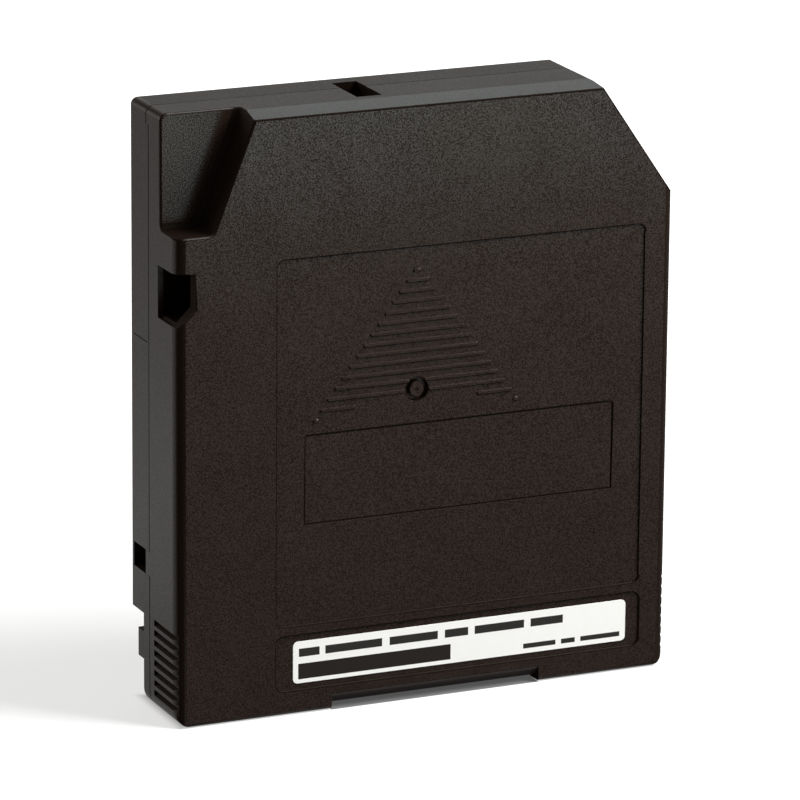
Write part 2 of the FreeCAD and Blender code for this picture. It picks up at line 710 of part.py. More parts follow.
def lower_shell(blank, space):
    """Return the back half of the case, with the gear opening, datum holes, screw wells and supports."""
    shell = blank.cut(upper_zone()).cut(space).cut(parting_groove())
    line = box((-MARGIN, SIDE_LINE_SIZE), SIDE_LINE_Y, (SIDE_LINE_Z, SIDE_LINE_Z + SIDE_LINE_SIZE))
    added = [rod(place, BOSS_R, PARTING_Y, DEPTH - WALL) for place in SCREW_PLACES]
    added += datum_bosses() + board_ribs() + switch_keeper()
    added += [saddle(DEPTH - WALL, PIN_Y[1], -1), door_guide(DEPTH - WALL - GUIDE_HEIGHT, DEPTH - WALL)]
    seat_x, seat_z = DOOR_SPRING_SEAT
    seat_reach = DOOR_SPRING_R + DOOR_SPRING_WIRE_R
    seat_y = (DEPTH / 2 - seat_reach, DEPTH - WALL / 2)
    added.append(box((seat_x - seat_reach, seat_x + seat_reach), seat_y, (seat_z - WALL, seat_z)))
    shell = shell.fuse(added)
    cuts = [line, switch_cuts(), doorway()] + datum_cuts()
    cuts.append(rod(REEL_PLACE, GEAR_OPENING_R, DEPTH - WALL - MARGIN, DEPTH + MARGIN))
    for place in SCREW_PLACES:
        cuts.append(rod(place, BOSS_HOLE_R, SCREW_SEAT_Y, DEPTH + MARGIN))
        cuts.append(rod(place, SCREW_R + SWITCH_PLAY / 2, PARTING_Y - MARGIN, SCREW_SEAT_Y))
    return shell.cut(cuts)


def case_screws():
    """Return the screws that hold the shells together."""
    screws = []
    for place in SCREW_PLACES:
        shank = rod(place, SCREW_R, SCREW_TIP_Y, SCREW_SEAT_Y)
        head = rod(place, SCREW_HEAD_R, SCREW_SEAT_Y, SCREW_SEAT_Y + SCREW_HEAD_HEIGHT)
        screws.append(shank.fuse(head).removeSplitter())
    return Part.makeCompound(screws)


def front_label():
    """Return the paper label in its field."""
    return prism("y", rectangle(LABEL), PANEL_DEPTH - LABEL_THICKNESS, PANEL_DEPTH, LABEL_R)


def reel_hub():
    """Return the cup shaped hub with its back flange, drive gear and lock teeth, moulded in one."""
    wall = tube(REEL_PLACE, (HUB_INNER_R, HUB_R), FRONT_FLANGE_Y[1], HUB_FLOOR_Y[1])
    floor = rod(REEL_PLACE, HUB_R, *HUB_FLOOR_Y)
    flange = tube(REEL_PLACE, (HUB_INNER_R, FLANGE_R), *BACK_FLANGE_Y)
    boss = tube(REEL_PLACE, (GEAR_BOSS_INNER_R, GEAR_BOSS_R), HUB_FLOOR_Y[0], GEAR_BOSS_Y)
    hub = wall.fuse([floor, flange, boss])
    sink = 0.2
    gear = face_teeth(GEAR_TEETH, GEAR_R, GEAR_BOSS_Y, GEAR_BOSS_Y + GEAR_TOOTH, GEAR_BOSS_Y - sink)
    lock = face_teeth(LOCK_TEETH, LOCK_R, HUB_FLOOR_Y[0], HUB_FLOOR_Y[0] - LOCK_TOOTH, HUB_FLOOR_Y[0] + sink)
    hub = hub.fuse(gear + lock)
    return hub.cut([rod(place, PAD_LEG_HOLE_R, PAD_Y[0], GEAR_BOSS_Y + MARGIN) for place in leg_places()])


def leg_places():
    """Return the places (x, z) of the release pad's legs."""
    places = []
    for index in range(PAD_LEGS):
        angle = math.radians(90 + 360 * index / PAD_LEGS)
        across, up = PAD_LEG_CIRCLE_R * math.cos(angle), PAD_LEG_CIRCLE_R * math.sin(angle)
        places.append((REEL_X + across, REEL_Z + up))
    return places


def release_pad():
    """Return the disc between the hub's floor and the brake, with legs that reach out to the drive."""
    disc = rod(REEL_PLACE, PAD_R, *PAD_Y)
    legs = [rod(place, PAD_LEG_R, PAD_Y[0], PAD_LEG_END_Y) for place in leg_places()]
    return disc.fuse(legs).removeSplitter()


def brake_button():
    """Return the sliding brake: toothed disc, keyed tube round the post, and round nose."""
    disc = rod(REEL_PLACE, BRAKE_R, BRAKE_Y[0], LOCK_ROOT_Y)
    disc = disc.cut(rod(REEL_PLACE, BRAKE_RELIEF_R, BRAKE_Y[1], LOCK_ROOT_Y + MARGIN))
    height = BRAKE_NOSE_Y - BRAKE_Y[1]
    sphere = (BRAKE_NOSE_R ** 2 + height ** 2) / (2 * height)
    ball = Part.makeSphere(sphere, V(REEL_X, BRAKE_NOSE_Y - sphere, REEL_Z))
    nose = ball.common(rod(REEL_PLACE, BRAKE_NOSE_R, sum(BRAKE_Y) / 2, BRAKE_NOSE_Y + MARGIN))
    sleeve = tube(REEL_PLACE, BRAKE_TUBE_R, BRAKE_TUBE_Y, BRAKE_Y[0] + height)
    sink = 0.2
    tip = LOCK_ROOT_Y + LOCK_TOOTH
    teeth = face_teeth(LOCK_TEETH, LOCK_R, LOCK_ROOT_Y, tip, LOCK_ROOT_Y - sink, turned=0.5)
    brake = disc.fuse([nose, sleeve] + teeth)
    reach = BRAKE_TUBE_R[1] + MARGIN / 10
    slots = box((REEL_X - reach, REEL_X + reach), (BRAKE_TUBE_Y - MARGIN, KEY_SLOT_Y),
                (REEL_Z - KEY_SLOT / 2, REEL_Z + KEY_SLOT / 2))
    return brake.cut(slots)


def brake_spring():
    """Return the coil between the front wall and the brake."""
    start, end = V(REEL_X, WALL, REEL_Z), V(REEL_X, BRAKE_Y[0], REEL_Z)
    return coil(start, end, BRAKE_SPRING_R, BRAKE_SPRING_WIRE_R, BRAKE_SPRING_TURNS)


def door():
    """Return the curved door plate with the lug that its spring pushes."""
    plate = sector(DOOR_CENTRE, (DOOR_R - DOOR_THICKNESS, DOOR_R), DOOR_ANGLES, *DOOR_Y)
    lug_angles = (DOOR_ANGLES[0], DOOR_LUG_ANGLE)
    lug = sector(DOOR_CENTRE, (DOOR_LUG_R, DOOR_R - DOOR_THICKNESS), lug_angles, *DOOR_LUG_Y)
    return plate.fuse(lug).removeSplitter()


def door_spring():
    """Return the long coil that pushes the door shut."""
    start = V(DOOR_SPRING_SEAT[0], DEPTH / 2, DOOR_SPRING_SEAT[1])
    end = V(DOOR_SPRING_TOP[0], DEPTH / 2, DOOR_SPRING_TOP[1])
    return coil(start, end, DOOR_SPRING_R, DOOR_SPRING_WIRE_R, DOOR_SPRING_TURNS)


def leader_pin():
    """Return the steel pin with its wider ends."""
    ends = [rod(PIN_PLACE, PIN_END_R, PIN_Y[0], PIN_Y[0] + PIN_END_LENGTH),
            rod(PIN_PLACE, PIN_END_R, PIN_Y[1] - PIN_END_LENGTH, PIN_Y[1])]
    return rod(PIN_PLACE, PIN_R, *PIN_Y).fuse(ends).removeSplitter()


def strand_ends():
    """Return where the tape leaves the pack, and the pin, on one straight tangent."""
    axis, pin = V(REEL_X, 0, REEL_Z), V(PIN_PLACE[0], 0, PIN_PLACE[1])
    radius = PACK_R + STRAND_THICKNESS
    towards = pin - axis
    turn = math.degrees(math.acos(radius / towards.Length))
    leave = FreeCAD.Rotation(AXES["y"], -turn).multVec(V(towards).normalize()) * radius
    return axis + leave, pin


def tape_span():
    """Return the two levels between which the tape lies, midway between the flanges."""
    middle = (FRONT_FLANGE_Y[1] + BACK_FLANGE_Y[0]) / 2
    return middle - TAPE_WIDTH / 2, middle + TAPE_WIDTH / 2


def leader_tape():
    """Return the free strand of tape from the pack to the pin."""
    leave, pin = strand_ends()
    run = (pin - leave).normalize()
    end = pin - run * PIN_R
    across = V(-run.z, 0, run.x) * (STRAND_THICKNESS / 2)
    corners = [leave - across, end - across, end + across, leave + across]
    return prism("y", [(point.x, point.z) for point in corners], *tape_span())


def leader_clip():
    """Return the split sleeve that traps the tape on the pin, open where the strand comes in."""
    low, high = tape_span()
    leave, pin = strand_ends()
    back = leave - pin
    middle = math.degrees(math.atan2(back.z, back.x))
    first = middle + CLIP_GAP_DEG / 2
    return sector(PIN_PLACE, (PIN_R + SEAT_GAP, CLIP_R), (first, middle + 360 - CLIP_GAP_DEG / 2), low, high)


def pin_springs():
    """Return the two leaf springs, each trapped behind a saddle with a hook round one end of the pin."""
    inward = math.degrees(math.atan2(CUT_INWARD.y, CUT_INWARD.x))
    behind = SADDLE_R[1] + SEAT_GAP
    far = behind + PIN_SPRING_THICKNESS
    half = PIN_SPRING_STRIP / 2
    springs = []
    for wall, pin_end, towards in ((WALL, PIN_Y[0], 1), (DEPTH - WALL, PIN_Y[1], -1)):
        arm = pin_end + towards * (PIN_END_LENGTH + PIN_SPRING_ARM_GAP)
        low, high = sorted((arm, arm + towards * PIN_SPRING_ARM))
        hook = sector(PIN_PLACE, PIN_SPRING_R, (inward - PIN_SPRING_WRAP_DEG, inward), low, high)
        tongue = prism("y", across_doorway(PIN_SPRING_R[0], far, PIN_SPRING_THICKNESS), low, high)
        strip_y = sorted((wall + towards * SEAT_GAP, arm + towards * PIN_SPRING_ARM))
        strip = prism("y", across_doorway(behind, far, half), *strip_y)
        springs.append(strip.fuse([tongue, hook]).removeSplitter())
    return Part.makeCompound(springs)


def write_protect_switch():
    """Return the small slider with the nub that shows in the rear edge."""
    slide = box(SWITCH_X, SWITCH_Y, SWITCH_Z)
    return slide.fuse(box(NUB_X, NUB_Y, (NUB_Z, SWITCH_Z[1]))).removeSplitter()


def build():
    """Return every piece by its node name."""
    blank = stepped(case_blank())
    blank = blank.cut(notch_cuts() + [finger_scoop(), corner_notch(), end_slot(), side_window()])
    space = hollow()
    return {
        "upper_shell": upper_shell(blank, space),
        "lower_shell": lower_shell(blank, space),
        "front_label": front_label(),
        "case_screws": case_screws(),
        "reel_hub": reel_hub(),
        "reel_flange": tube(REEL_PLACE, (HUB_INNER_R, FLANGE_R), *FRONT_FLANGE_Y),
        "reel_plate": tube(REEL_PLACE, PLATE_R, HUB_FLOOR_Y[1], HUB_FLOOR_Y[1] + PLATE_THICKNESS),
        "tape_pack": tube(REEL_PLACE, (HUB_R + PACK_GAP, PACK_R), *tape_span()),
        "leader_tape": leader_tape(),
        "leader_pin": leader_pin(),
        "leader_clip": leader_clip(),
        "pin_springs": pin_springs(),
        "brake_button": brake_button(),
        "brake_spring": brake_spring(),
        "release_pad": release_pad(),
        "door": door(),
        "door_spring": door_spring(),
        "memory_board": memory_board(),
        "memory_chip": memory_chip(),
        "write_protect_switch": write_protect_switch(),
    }


def main():
    """Write each piece to its own file, with the origin under the middle of the rear edge."""
    os.makedirs("parts", exist_ok=True)
    to_origin = V(-WIDTH / 2, -DEPTH / 2, 0)
    for name, shape in build().items():
        shape.translated(to_origin).exportStep("parts/" + name + ".step")


main()
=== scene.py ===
"""Looks of a half-inch tape cleaning cartridge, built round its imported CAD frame."""
import json
import math

import bpy
from bpy.props import FloatProperty, FloatVectorProperty, IntProperty, PointerProperty
from mathutils import Matrix, Vector

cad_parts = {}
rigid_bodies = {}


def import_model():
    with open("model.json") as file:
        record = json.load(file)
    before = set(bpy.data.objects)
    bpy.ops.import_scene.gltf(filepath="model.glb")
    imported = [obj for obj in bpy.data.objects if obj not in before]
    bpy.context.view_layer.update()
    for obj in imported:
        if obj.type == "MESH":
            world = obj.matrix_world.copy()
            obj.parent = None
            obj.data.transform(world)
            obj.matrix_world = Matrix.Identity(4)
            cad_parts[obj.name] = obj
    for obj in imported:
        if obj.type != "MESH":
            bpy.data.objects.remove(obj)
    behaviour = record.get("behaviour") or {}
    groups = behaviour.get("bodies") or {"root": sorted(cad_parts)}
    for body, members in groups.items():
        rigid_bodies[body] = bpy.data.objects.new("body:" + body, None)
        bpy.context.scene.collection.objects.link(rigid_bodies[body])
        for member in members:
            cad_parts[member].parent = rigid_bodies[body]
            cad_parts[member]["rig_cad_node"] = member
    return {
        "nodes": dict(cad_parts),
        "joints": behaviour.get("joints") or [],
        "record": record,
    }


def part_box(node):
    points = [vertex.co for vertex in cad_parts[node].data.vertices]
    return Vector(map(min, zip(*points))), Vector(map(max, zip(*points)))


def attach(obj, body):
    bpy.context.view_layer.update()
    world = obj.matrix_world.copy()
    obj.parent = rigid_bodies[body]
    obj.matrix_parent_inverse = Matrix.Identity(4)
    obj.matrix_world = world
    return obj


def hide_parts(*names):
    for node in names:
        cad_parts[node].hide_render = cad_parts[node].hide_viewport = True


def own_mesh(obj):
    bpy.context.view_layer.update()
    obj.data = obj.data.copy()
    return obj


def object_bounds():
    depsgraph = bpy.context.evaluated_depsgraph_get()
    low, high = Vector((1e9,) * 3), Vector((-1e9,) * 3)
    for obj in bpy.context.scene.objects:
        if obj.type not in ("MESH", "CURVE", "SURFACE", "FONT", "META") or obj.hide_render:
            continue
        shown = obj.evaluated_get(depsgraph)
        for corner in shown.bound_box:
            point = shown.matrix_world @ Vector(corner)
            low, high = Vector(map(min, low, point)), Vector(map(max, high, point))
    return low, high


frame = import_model()
CAD_BOUNDS = [list(corner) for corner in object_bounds()]

bl_info = {
    "name": "Tape cleaning cartridge",
    "version": (1, 0, 0),
    "blender": (4, 5, 0),
    "location": "View3D > Sidebar > Cartridge",
    "description": "Finishes, screws, springs and stage of a tape cleaning cartridge",
    "category": "Object",
}

NODE_STEP, NODE_COLUMNS = 180.0, 8
MM = 0.001
MICRON = 0.000001
WHITE = (1.0, 1.0, 1.0)

# What the frame gives: the case's corners, the joints, the screws' box and each node's slot
CAD_LOW, CAD_HIGH = (Vector(corner) for corner in CAD_BOUNDS)
JOINTS = {row["name"]: row for row in frame["joints"]}
REEL_AXIS = tuple(JOINTS["reel_spin"]["pos_m"])
SCREW_LOW, SCREW_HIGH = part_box("case_screws")
SLOT_OF = {row["node"]: row["material_slot"] for row in frame["record"]["subparts"]}

# Lines of the case: the seam across its end, the cut corner, the bevel's line and the scoop's curve
END_SEAM_Y = CAD_LOW.y + 15.9 * MM
CUT_NORMAL = Vector((24.7, 0.0, 16.9)).normalized()
BEVEL_LINE_Z = CAD_HIGH.z - 1.0 * MM
SCOOP_RISE, SCOOP_RUN, SCOOP_SAG = 3.3 * MM, 5.0 * MM, 0.75 * MM
SCOOP_TOP = CAD_LOW.z + 4.0 * MM

# Depths that still count as the outside, the front face and the fields sunk into it
OUTER_SKIN, FRONT_SKIN, FIELD_SKIN = 0.05 * MM, 0.3 * MM, 0.45 * MM

# How far the openings' boxes are grown, to take in their walls
OPENING_MARGIN = 0.4 * MM

# Parts of a normal that tell a flat front or back, a lit slope, the cut corner and the scoop's curve
FLAT, LIT, ALONG_CUT, DOWNWARD = 0.995, 0.3, 0.99, -0.1

# Angles of bevelled edges, of smooth shading and of faces that are joined
SHARP, SAME_PLANE = math.radians(55.0), math.radians(0.1)
SMOOTH_ANGLE, COIL_SMOOTH_ANGLE = math.radians(35.0), math.radians(50.0)

# Reach of the dot at the reel's axis, whose edges keep narrow bevels
DOT_REACH = 1.0 * MM


def case_block(xs, ys, zs):
    """Return a block from its spans in millimetres from the case's left, front and bottom."""
    low, high = (CAD_LOW + MM * Vector(corner) for corner in zip(xs, ys, zs))
    return low, high


def grown(block, margin):
    """Return a block that reaches further on every side."""
    low, high = (Vector(corner) for corner in block)
    return low - Vector((margin,) * 3), high + Vector((margin,) * 3)


PANEL = case_block((20.0, 104.0), (0.0, 1.0), (4.5, 96.5))
PANEL_FOOT = case_block((20.0, 104.0), (0.0, 1.0), (4.5, 21.0))
STEP = case_block((0.0, 19.0), (0.0, 8.55), (101.0, 125.0))
STEP_RIM = case_block((-0.1, 19.0), (8.5, 8.7), (124.9, 125.1))
SCOOP = case_block((33.5, 80.5), (0.1, 5.2), (0.0, 3.4))
SCOOP_CURVE = case_block((33.7, 80.2), (0.02, 4.98), (0.02, 3.28))
GRIPS = [case_block(span, (2.6, 12.4), (2.9, 20.2)) for span in ((0.0, 1.0), (108.0, 109.0))]
OPENINGS = [row["box_m"] for row in frame["record"]["physics"]["openings"]
            if row["name"] != "stepped_corner"]
INNER = grown(CAD_BOUNDS, -OUTER_SKIN)
HOLLOWS = [grown(block, OPENING_MARGIN) for block in OPENINGS] + [STEP, SCOOP] + GRIPS

# Fields on the front (left, right, low, high), in millimetres from the case's left and bottom
INNER_FIELD = (27.75, 96.15, 39.6, 58.3)
# Painted shade: width of the dark frame painted just inside the inner field's edge, and how deep behind the
# front face it is painted
EDGE_SHADE_WIDTH, EDGE_SHADE_DEPTH = 0.24, 1.0 * MM
PRINTED_BLOCK = (26.45, 60.3, 7.15, 10.5)
UPPER_LINE, LOWER_LINE = (11.9, 13.7), (7.35, 8.45)
UPPER_BARS = ((26.6, 31.2), (32.4, 45.0), (46.6, 57.4), (58.9, 64.2), (65.6, 76.8), (78.2, 85.6))
LOWER_BARS = ((76.6, 84.0), (85.2, 88.4), (89.6, 98.6))
PRINTED_BARS = [(*bar, *UPPER_LINE) for bar in UPPER_BARS] + [(*bar, *LOWER_LINE) for bar in LOWER_BARS]
PRINT_EDGE = 0.06 * MM

# Finishes of the case by kind of face, the first for all that is sunk; each kind's shade is painted shade,
# darkest on sunk faces, less on the smooth sides and rounded edges
SHELL_FACES = {
    "hollow": {"shade": 0.45, "rough": 0.6, "relief": 0.3, "coat_rough": 0.5},
    "smooth": {"shade": 0.6, "rough": 0.5, "relief": 0.2, "coat_rough": 0.42},
    "grained": {"shade": 1.0, "rough": 0.5, "relief": 1.0, "coat_rough": 0.2},
}
SHELL_SPECULAR, COAT_IOR = 0.02, 1.5
SHELL_SWING = (0.05, -0.05)
SHEEN_SPECKLE = (0.85, 1.15)
# Painted shade: the frame round the inner field is painted this share of the deep tone
PAINTED_EDGE_SHADE = 0.2

# Moulded grain: the noise between its two tones, and the slow change's scale and what it leaves to the grain
GRAIN_TURN = (0.39, 0.61)
SLOW_SCALE, GRAIN_SHARE = 0.02, 0.75
PEBBLE_DEPTH, PEBBLE_SMOOTHNESS = -0.5, 0.6

# Painted sheen: limits between which a part of the normal brings in the sheen, so that how much of it shows
# is painted by where a face looks, and what level faces keep of it on each side of the end's seam
FLAT_FACING, SIDE_FACING, UP_FACING = (0.75, 0.98), (0.2, 0.5), (0.2, 0.45)
BACK_FACING, DOWN_FACING, CUT_FACING = (0.1, 0.4), (-0.02, -0.15), (0.97, 0.995)
LEVEL_FACING, LEVEL_SHEEN = (0.987, 0.998), (0.36, 0.26)

# Detail and roughness of the fine noises
FINE_NOISE, STAIN_NOISE = (3.0, 0.6), (3.0, 0.55)

# Label film
LABEL_SPECULAR, LABEL_ROUGH = 0.1, (0.42, 0.58)
FIBRE_SCALE, FIBRE_SHARE, FIBRE_HEIGHT = 900.0, 0.25, 4 * MICRON

# Plain plastics, steel and tape: their darker tones, their marks and how their roughness swings
MOULDED_SPECULAR, MOULDED_DARK, MOULDED_HEIGHT = 0.4, 0.93, 12 * MICRON
MOULDED_GRAIN, MOULDED_RINGS, MOULDED_SWING = 0.6 * MM, 0.4 * MM, (0.1, -0.05)
RINGED_TONE, RINGED_HEIGHT = 0.5, 0.7
STEEL_DARK, STEEL_HEIGHT, STEEL_RINGED, STEEL_SWING = 0.78, 6 * MICRON, 0.6, (0.12, -0.06)
STAIN_SCALE = 260.0
TAPE_SPECULAR, TAPE_DARK, TAPE_HEIGHT = 0.5, 0.6, 8 * MICRON
TAPE_RINGS, TAPE_ROUGH = 0.12 * MM, (0.38, 0.2)

# Memory board: half its sides, its turn in the case, and its loops of copper
BOARD_HALF_LONG, BOARD_HALF_WIDE, BOARD_TURN = 9.0 * MM, 4.5 * MM, math.radians(45.0)
LOOP_PITCH, LOOP_SHARE, LOOP_COUNT = 0.7 * MM, 0.45, 3.0
BOARD_SPECULAR, BOARD_ROUGH, BOARD_DARK = 0.5, (0.3, 0.42), 0.7
BOARD_HEIGHT, COPPER_HEIGHT, WEAVE_SCALE = 20 * MICRON, 0.8, 1500.0

# Case screws: places across and up the back, the thread, and the tapered square recess
SCREW_PLACES = [MM * Vector((across, 0.0, up))
                for across, up in ((-39.5, 22.0), (46.5, 24.0), (-47.5, 112.0), (29.5, 118.0))]
SCREW_SIDES, SCREW_TURN = 40, math.radians(23.0)
RIM_BEVEL, RIM_SHARP = 0.12 * MM, math.radians(60.0)
THREAD_PITCH, THREAD_ROOT = 0.45 * MM, 0.84
RECESS_SHARE, RECESS_TAPER, RECESS_PROUD = 0.7, 0.62, 0.1 * MM
END_FACE = 0.9

# Coil springs: radius, wire's radius and turns, and the door spring's ends and what its squash keeps
BRAKE_COIL = (8.0 * MM, 0.4 * MM, 5)
DOOR_COIL = (1.75 * MM, 0.25 * MM, 16)
DOOR_SEAT, DOOR_TOP = (0.0497, 0.0, 0.0446), (0.04825, 0.0, 0.0984)

# Stage: the floor, the distances over which its glow changes (for mirrors, painted dimmer far behind), the
# lamps and the camera
FLOOR_SIZE, FLOOR_Z = 12.0, -0.2 * MM
GLOW_REACH, REAR_REACH = (0.08, 0.4), (0.08, 0.34)
# Painted shadow: the reach of the floor's fading glow at the cartridge's footprint, and the soft edge of the
# darker floor under the scoop
CONTACT_REACH, STRIP_EDGE = (-0.5 * MM, 4.0 * MM), 0.4 * MM
LAMP_TARGET = (0.0, 0.0, 0.06)
KEY_PLACE, KEY_SIZE = (0.78, -0.52, 1.0), 0.6
REAR_PLACE, REAR_SIZE = (0.47, 0.87, 0.74), 0.4
FILL_PLACE, FILL_SIZE = (-0.8, 0.7, 0.5), 0.5
CARD_PLACE, CARD_SIZE = (0.2, -0.6, 0.004), 0.34
CARD_TARGET = (0.2, -0.6, 1.0)
SENSOR_MM, CLIP_NEAR, CLIP_FAR = 36.0, 0.01, 50.0


def colour(name, description, default):
    """Return a colour property."""
    return FloatVectorProperty(name=name, description=description, default=default, size=3, min=0.0,
                               max=1.0, subtype="COLOR")


def length(name, description, default):
    """Return a length property in metres."""
    return FloatProperty(name=name, description=description, default=default, min=0.0, precision=5,
                         unit="LENGTH")


def share(name, description, default):
    """Return a property between nought and one."""
    return FloatProperty(name=name, description=description, default=default, min=0.0, max=1.0,
                         subtype="FACTOR")


def angle(name, description, degrees):
    """Return an angle property."""
    return FloatProperty(name=name, description=description, default=math.radians(degrees), subtype="ANGLE")


def power(name, description, default):
    """Return a lamp's power property in watts."""
    return FloatProperty(name=name, description=description, default=default, min=0.0, unit="POWER")


class ShellSettings(bpy.types.PropertyGroup):
    """Sizes and colours of the black case."""

    deep: colour("Deep tone", "Darker tone of the black plastic", (0.0084, 0.0048, 0.0032))
    pale: colour("Pale tone", "Lighter tone of the black plastic", (0.0196, 0.0112, 0.0074))
    grain: length("Grain", "Distance between the grains of the moulded texture", 0.00028)
    grain_depth: length("Grain depth", "Height of the moulded texture", 0.00005)
    gloss: share("Gloss", "Strength of the sheen on the grains of the textured faces", 0.25)
    # The smooth faces' sheen is painted: where each face looks sets how much of it shows.
    sheen: share("Sheen", "Strength of the sheen on the smooth faces", 0.38)
    edge: length("Edge", "Width of the small bevel along sharp edges", 0.00009)
    field_edge: length("Field edge", "Width of the bevel along the edges sunk into the front face", 0.00018)
    front_edge: length("Front edge", "Width of the bevel along the sharp edges of the front face", 0.00036)


class LabelSettings(bpy.types.PropertyGroup):
    """Colours of the label."""

    paper: colour("Paper", "Colour of the label film", (0.92, 0.915, 0.885))
    fibre: colour("Fibre", "Colour of the fine marks in the film", (0.78, 0.775, 0.73))
    ink: colour("Ink", "Colour of the dark block", (0.011, 0.0085, 0.007))
    line_ink: colour("Line ink", "Colour of the plain bars", (0.020, 0.018, 0.016))


class InsideSettings(bpy.types.PropertyGroup):
    """Sizes and colours of what the case holds."""

    natural: colour("Natural plastic", "Colour of the reel and the brake", (0.66, 0.64, 0.57))
    grey: colour("Grey plastic", "Colour of the door, the pad, the clip and the switch", (0.42, 0.42, 0.41))
    chip: colour("Chip", "Colour of the memory chip", (0.02, 0.02, 0.021))
    tape: colour("Tape", "Colour of the coated tape", (0.035, 0.026, 0.021))
    steel: colour("Steel", "Colour of bare steel", (0.56, 0.56, 0.57))
    dark_steel: colour("Dark steel", "Colour of the blackened screws", (0.2, 0.2, 0.21))
    laminate: colour("Laminate", "Colour of the memory board", (0.02, 0.13, 0.05))
    copper: colour("Copper", "Colour of the board's loops under their coating", (0.16, 0.24, 0.07))
    head_radius: length("Screw head", "Radius of a case screw's head", 0.002)
    head_height: length("Screw head height", "Height of a case screw's head", 0.0013)
    shank_radius: length("Screw shank", "Radius of a case screw's shank", 0.001)
    recess: length("Screw recess", "Reach of the square recess's sides from the middle", 0.0012)
    coil_sides: IntProperty(name="Wire sides", description="Sides of a spring's wire", default=10,
                            min=6, max=24)
    coil_steps: IntProperty(name="Turn steps", description="Steps in one turn of a spring", default=28,
                            min=8, max=64)


class StageSettings(bpy.types.PropertyGroup):
    """Camera, light and floor."""

    azimuth: angle("Azimuth", "Camera's turn about the cartridge", -24.0)
    elevation: angle("Elevation", "Camera's height above the horizon", 16.0)
    roll: angle("Roll", "Camera's turn about its own axis", 0.514)
    distance: length("Distance", "Camera's distance from its target", 1.2)
    lens: FloatProperty(name="Lens", description="Focal length in millimetres", default=265.7, min=1.0,
                        unit="CAMERA")
    target: FloatVectorProperty(name="Target", description="Point in the middle of the picture",
                                default=(-0.0007, 0.0, 0.0598), size=3, unit="LENGTH")
    floor: colour("Floor", "Colour of the floor in the lamps' light", (0.4, 0.4, 0.4))
    # Painted shadow: the floor under the scoop and under the cartridge is darker in colour and glow
    under_floor: colour("Under floor", "Colour of the floor in the shade of the scoop", (0.1, 0.1, 0.1))
    bounce: colour("Bounce", "Colour of the floor for light that it only passes on", (0.2, 0.2, 0.2))
    near_glow: share("Near glow", "What the floor adds beside the cartridge, where it is seen", 0.64)
    far_glow: share("Far glow", "What the floor adds far from the cartridge, where it is seen", 0.95)
    under_glow: share("Under glow", "Share of the floor's glow that is left under the cartridge", 0.13)
    # Painted reflection: what mirrors see of the floor far behind is dimmed to this share.
    rear_glow: share("Rear glow", "Share of the glow that is mirrored from far behind the cartridge", 0.1)
    cool: colour("Cool", "Colour of the low lamp in front and the lamp behind", (0.8, 1.0, 1.0))
    warm: colour("Warm", "Colour of the lamp behind on the left", (1.0, 0.92, 0.85))
    ambient: FloatProperty(name="Ambient", description="Strength of the even light", default=0.15, min=0.0)
    key: power("Key", "Power of the large lamp", 38.5)
    rear: power("Rear", "Power of the lamp behind", 1.3)
    fill: power("Fill", "Power of the lamp behind on the left", 5.0)
    card: power("Card", "Power of the low lamp in front", 3.7)


def settings(name):
    """Return one group of the scene's cartridge settings."""
    return getattr(bpy.context.scene, "cartridge_" + name)


def dimmed(tint, factor):
    """Return a colour with every part multiplied."""
    return tuple(factor * part for part in tint)


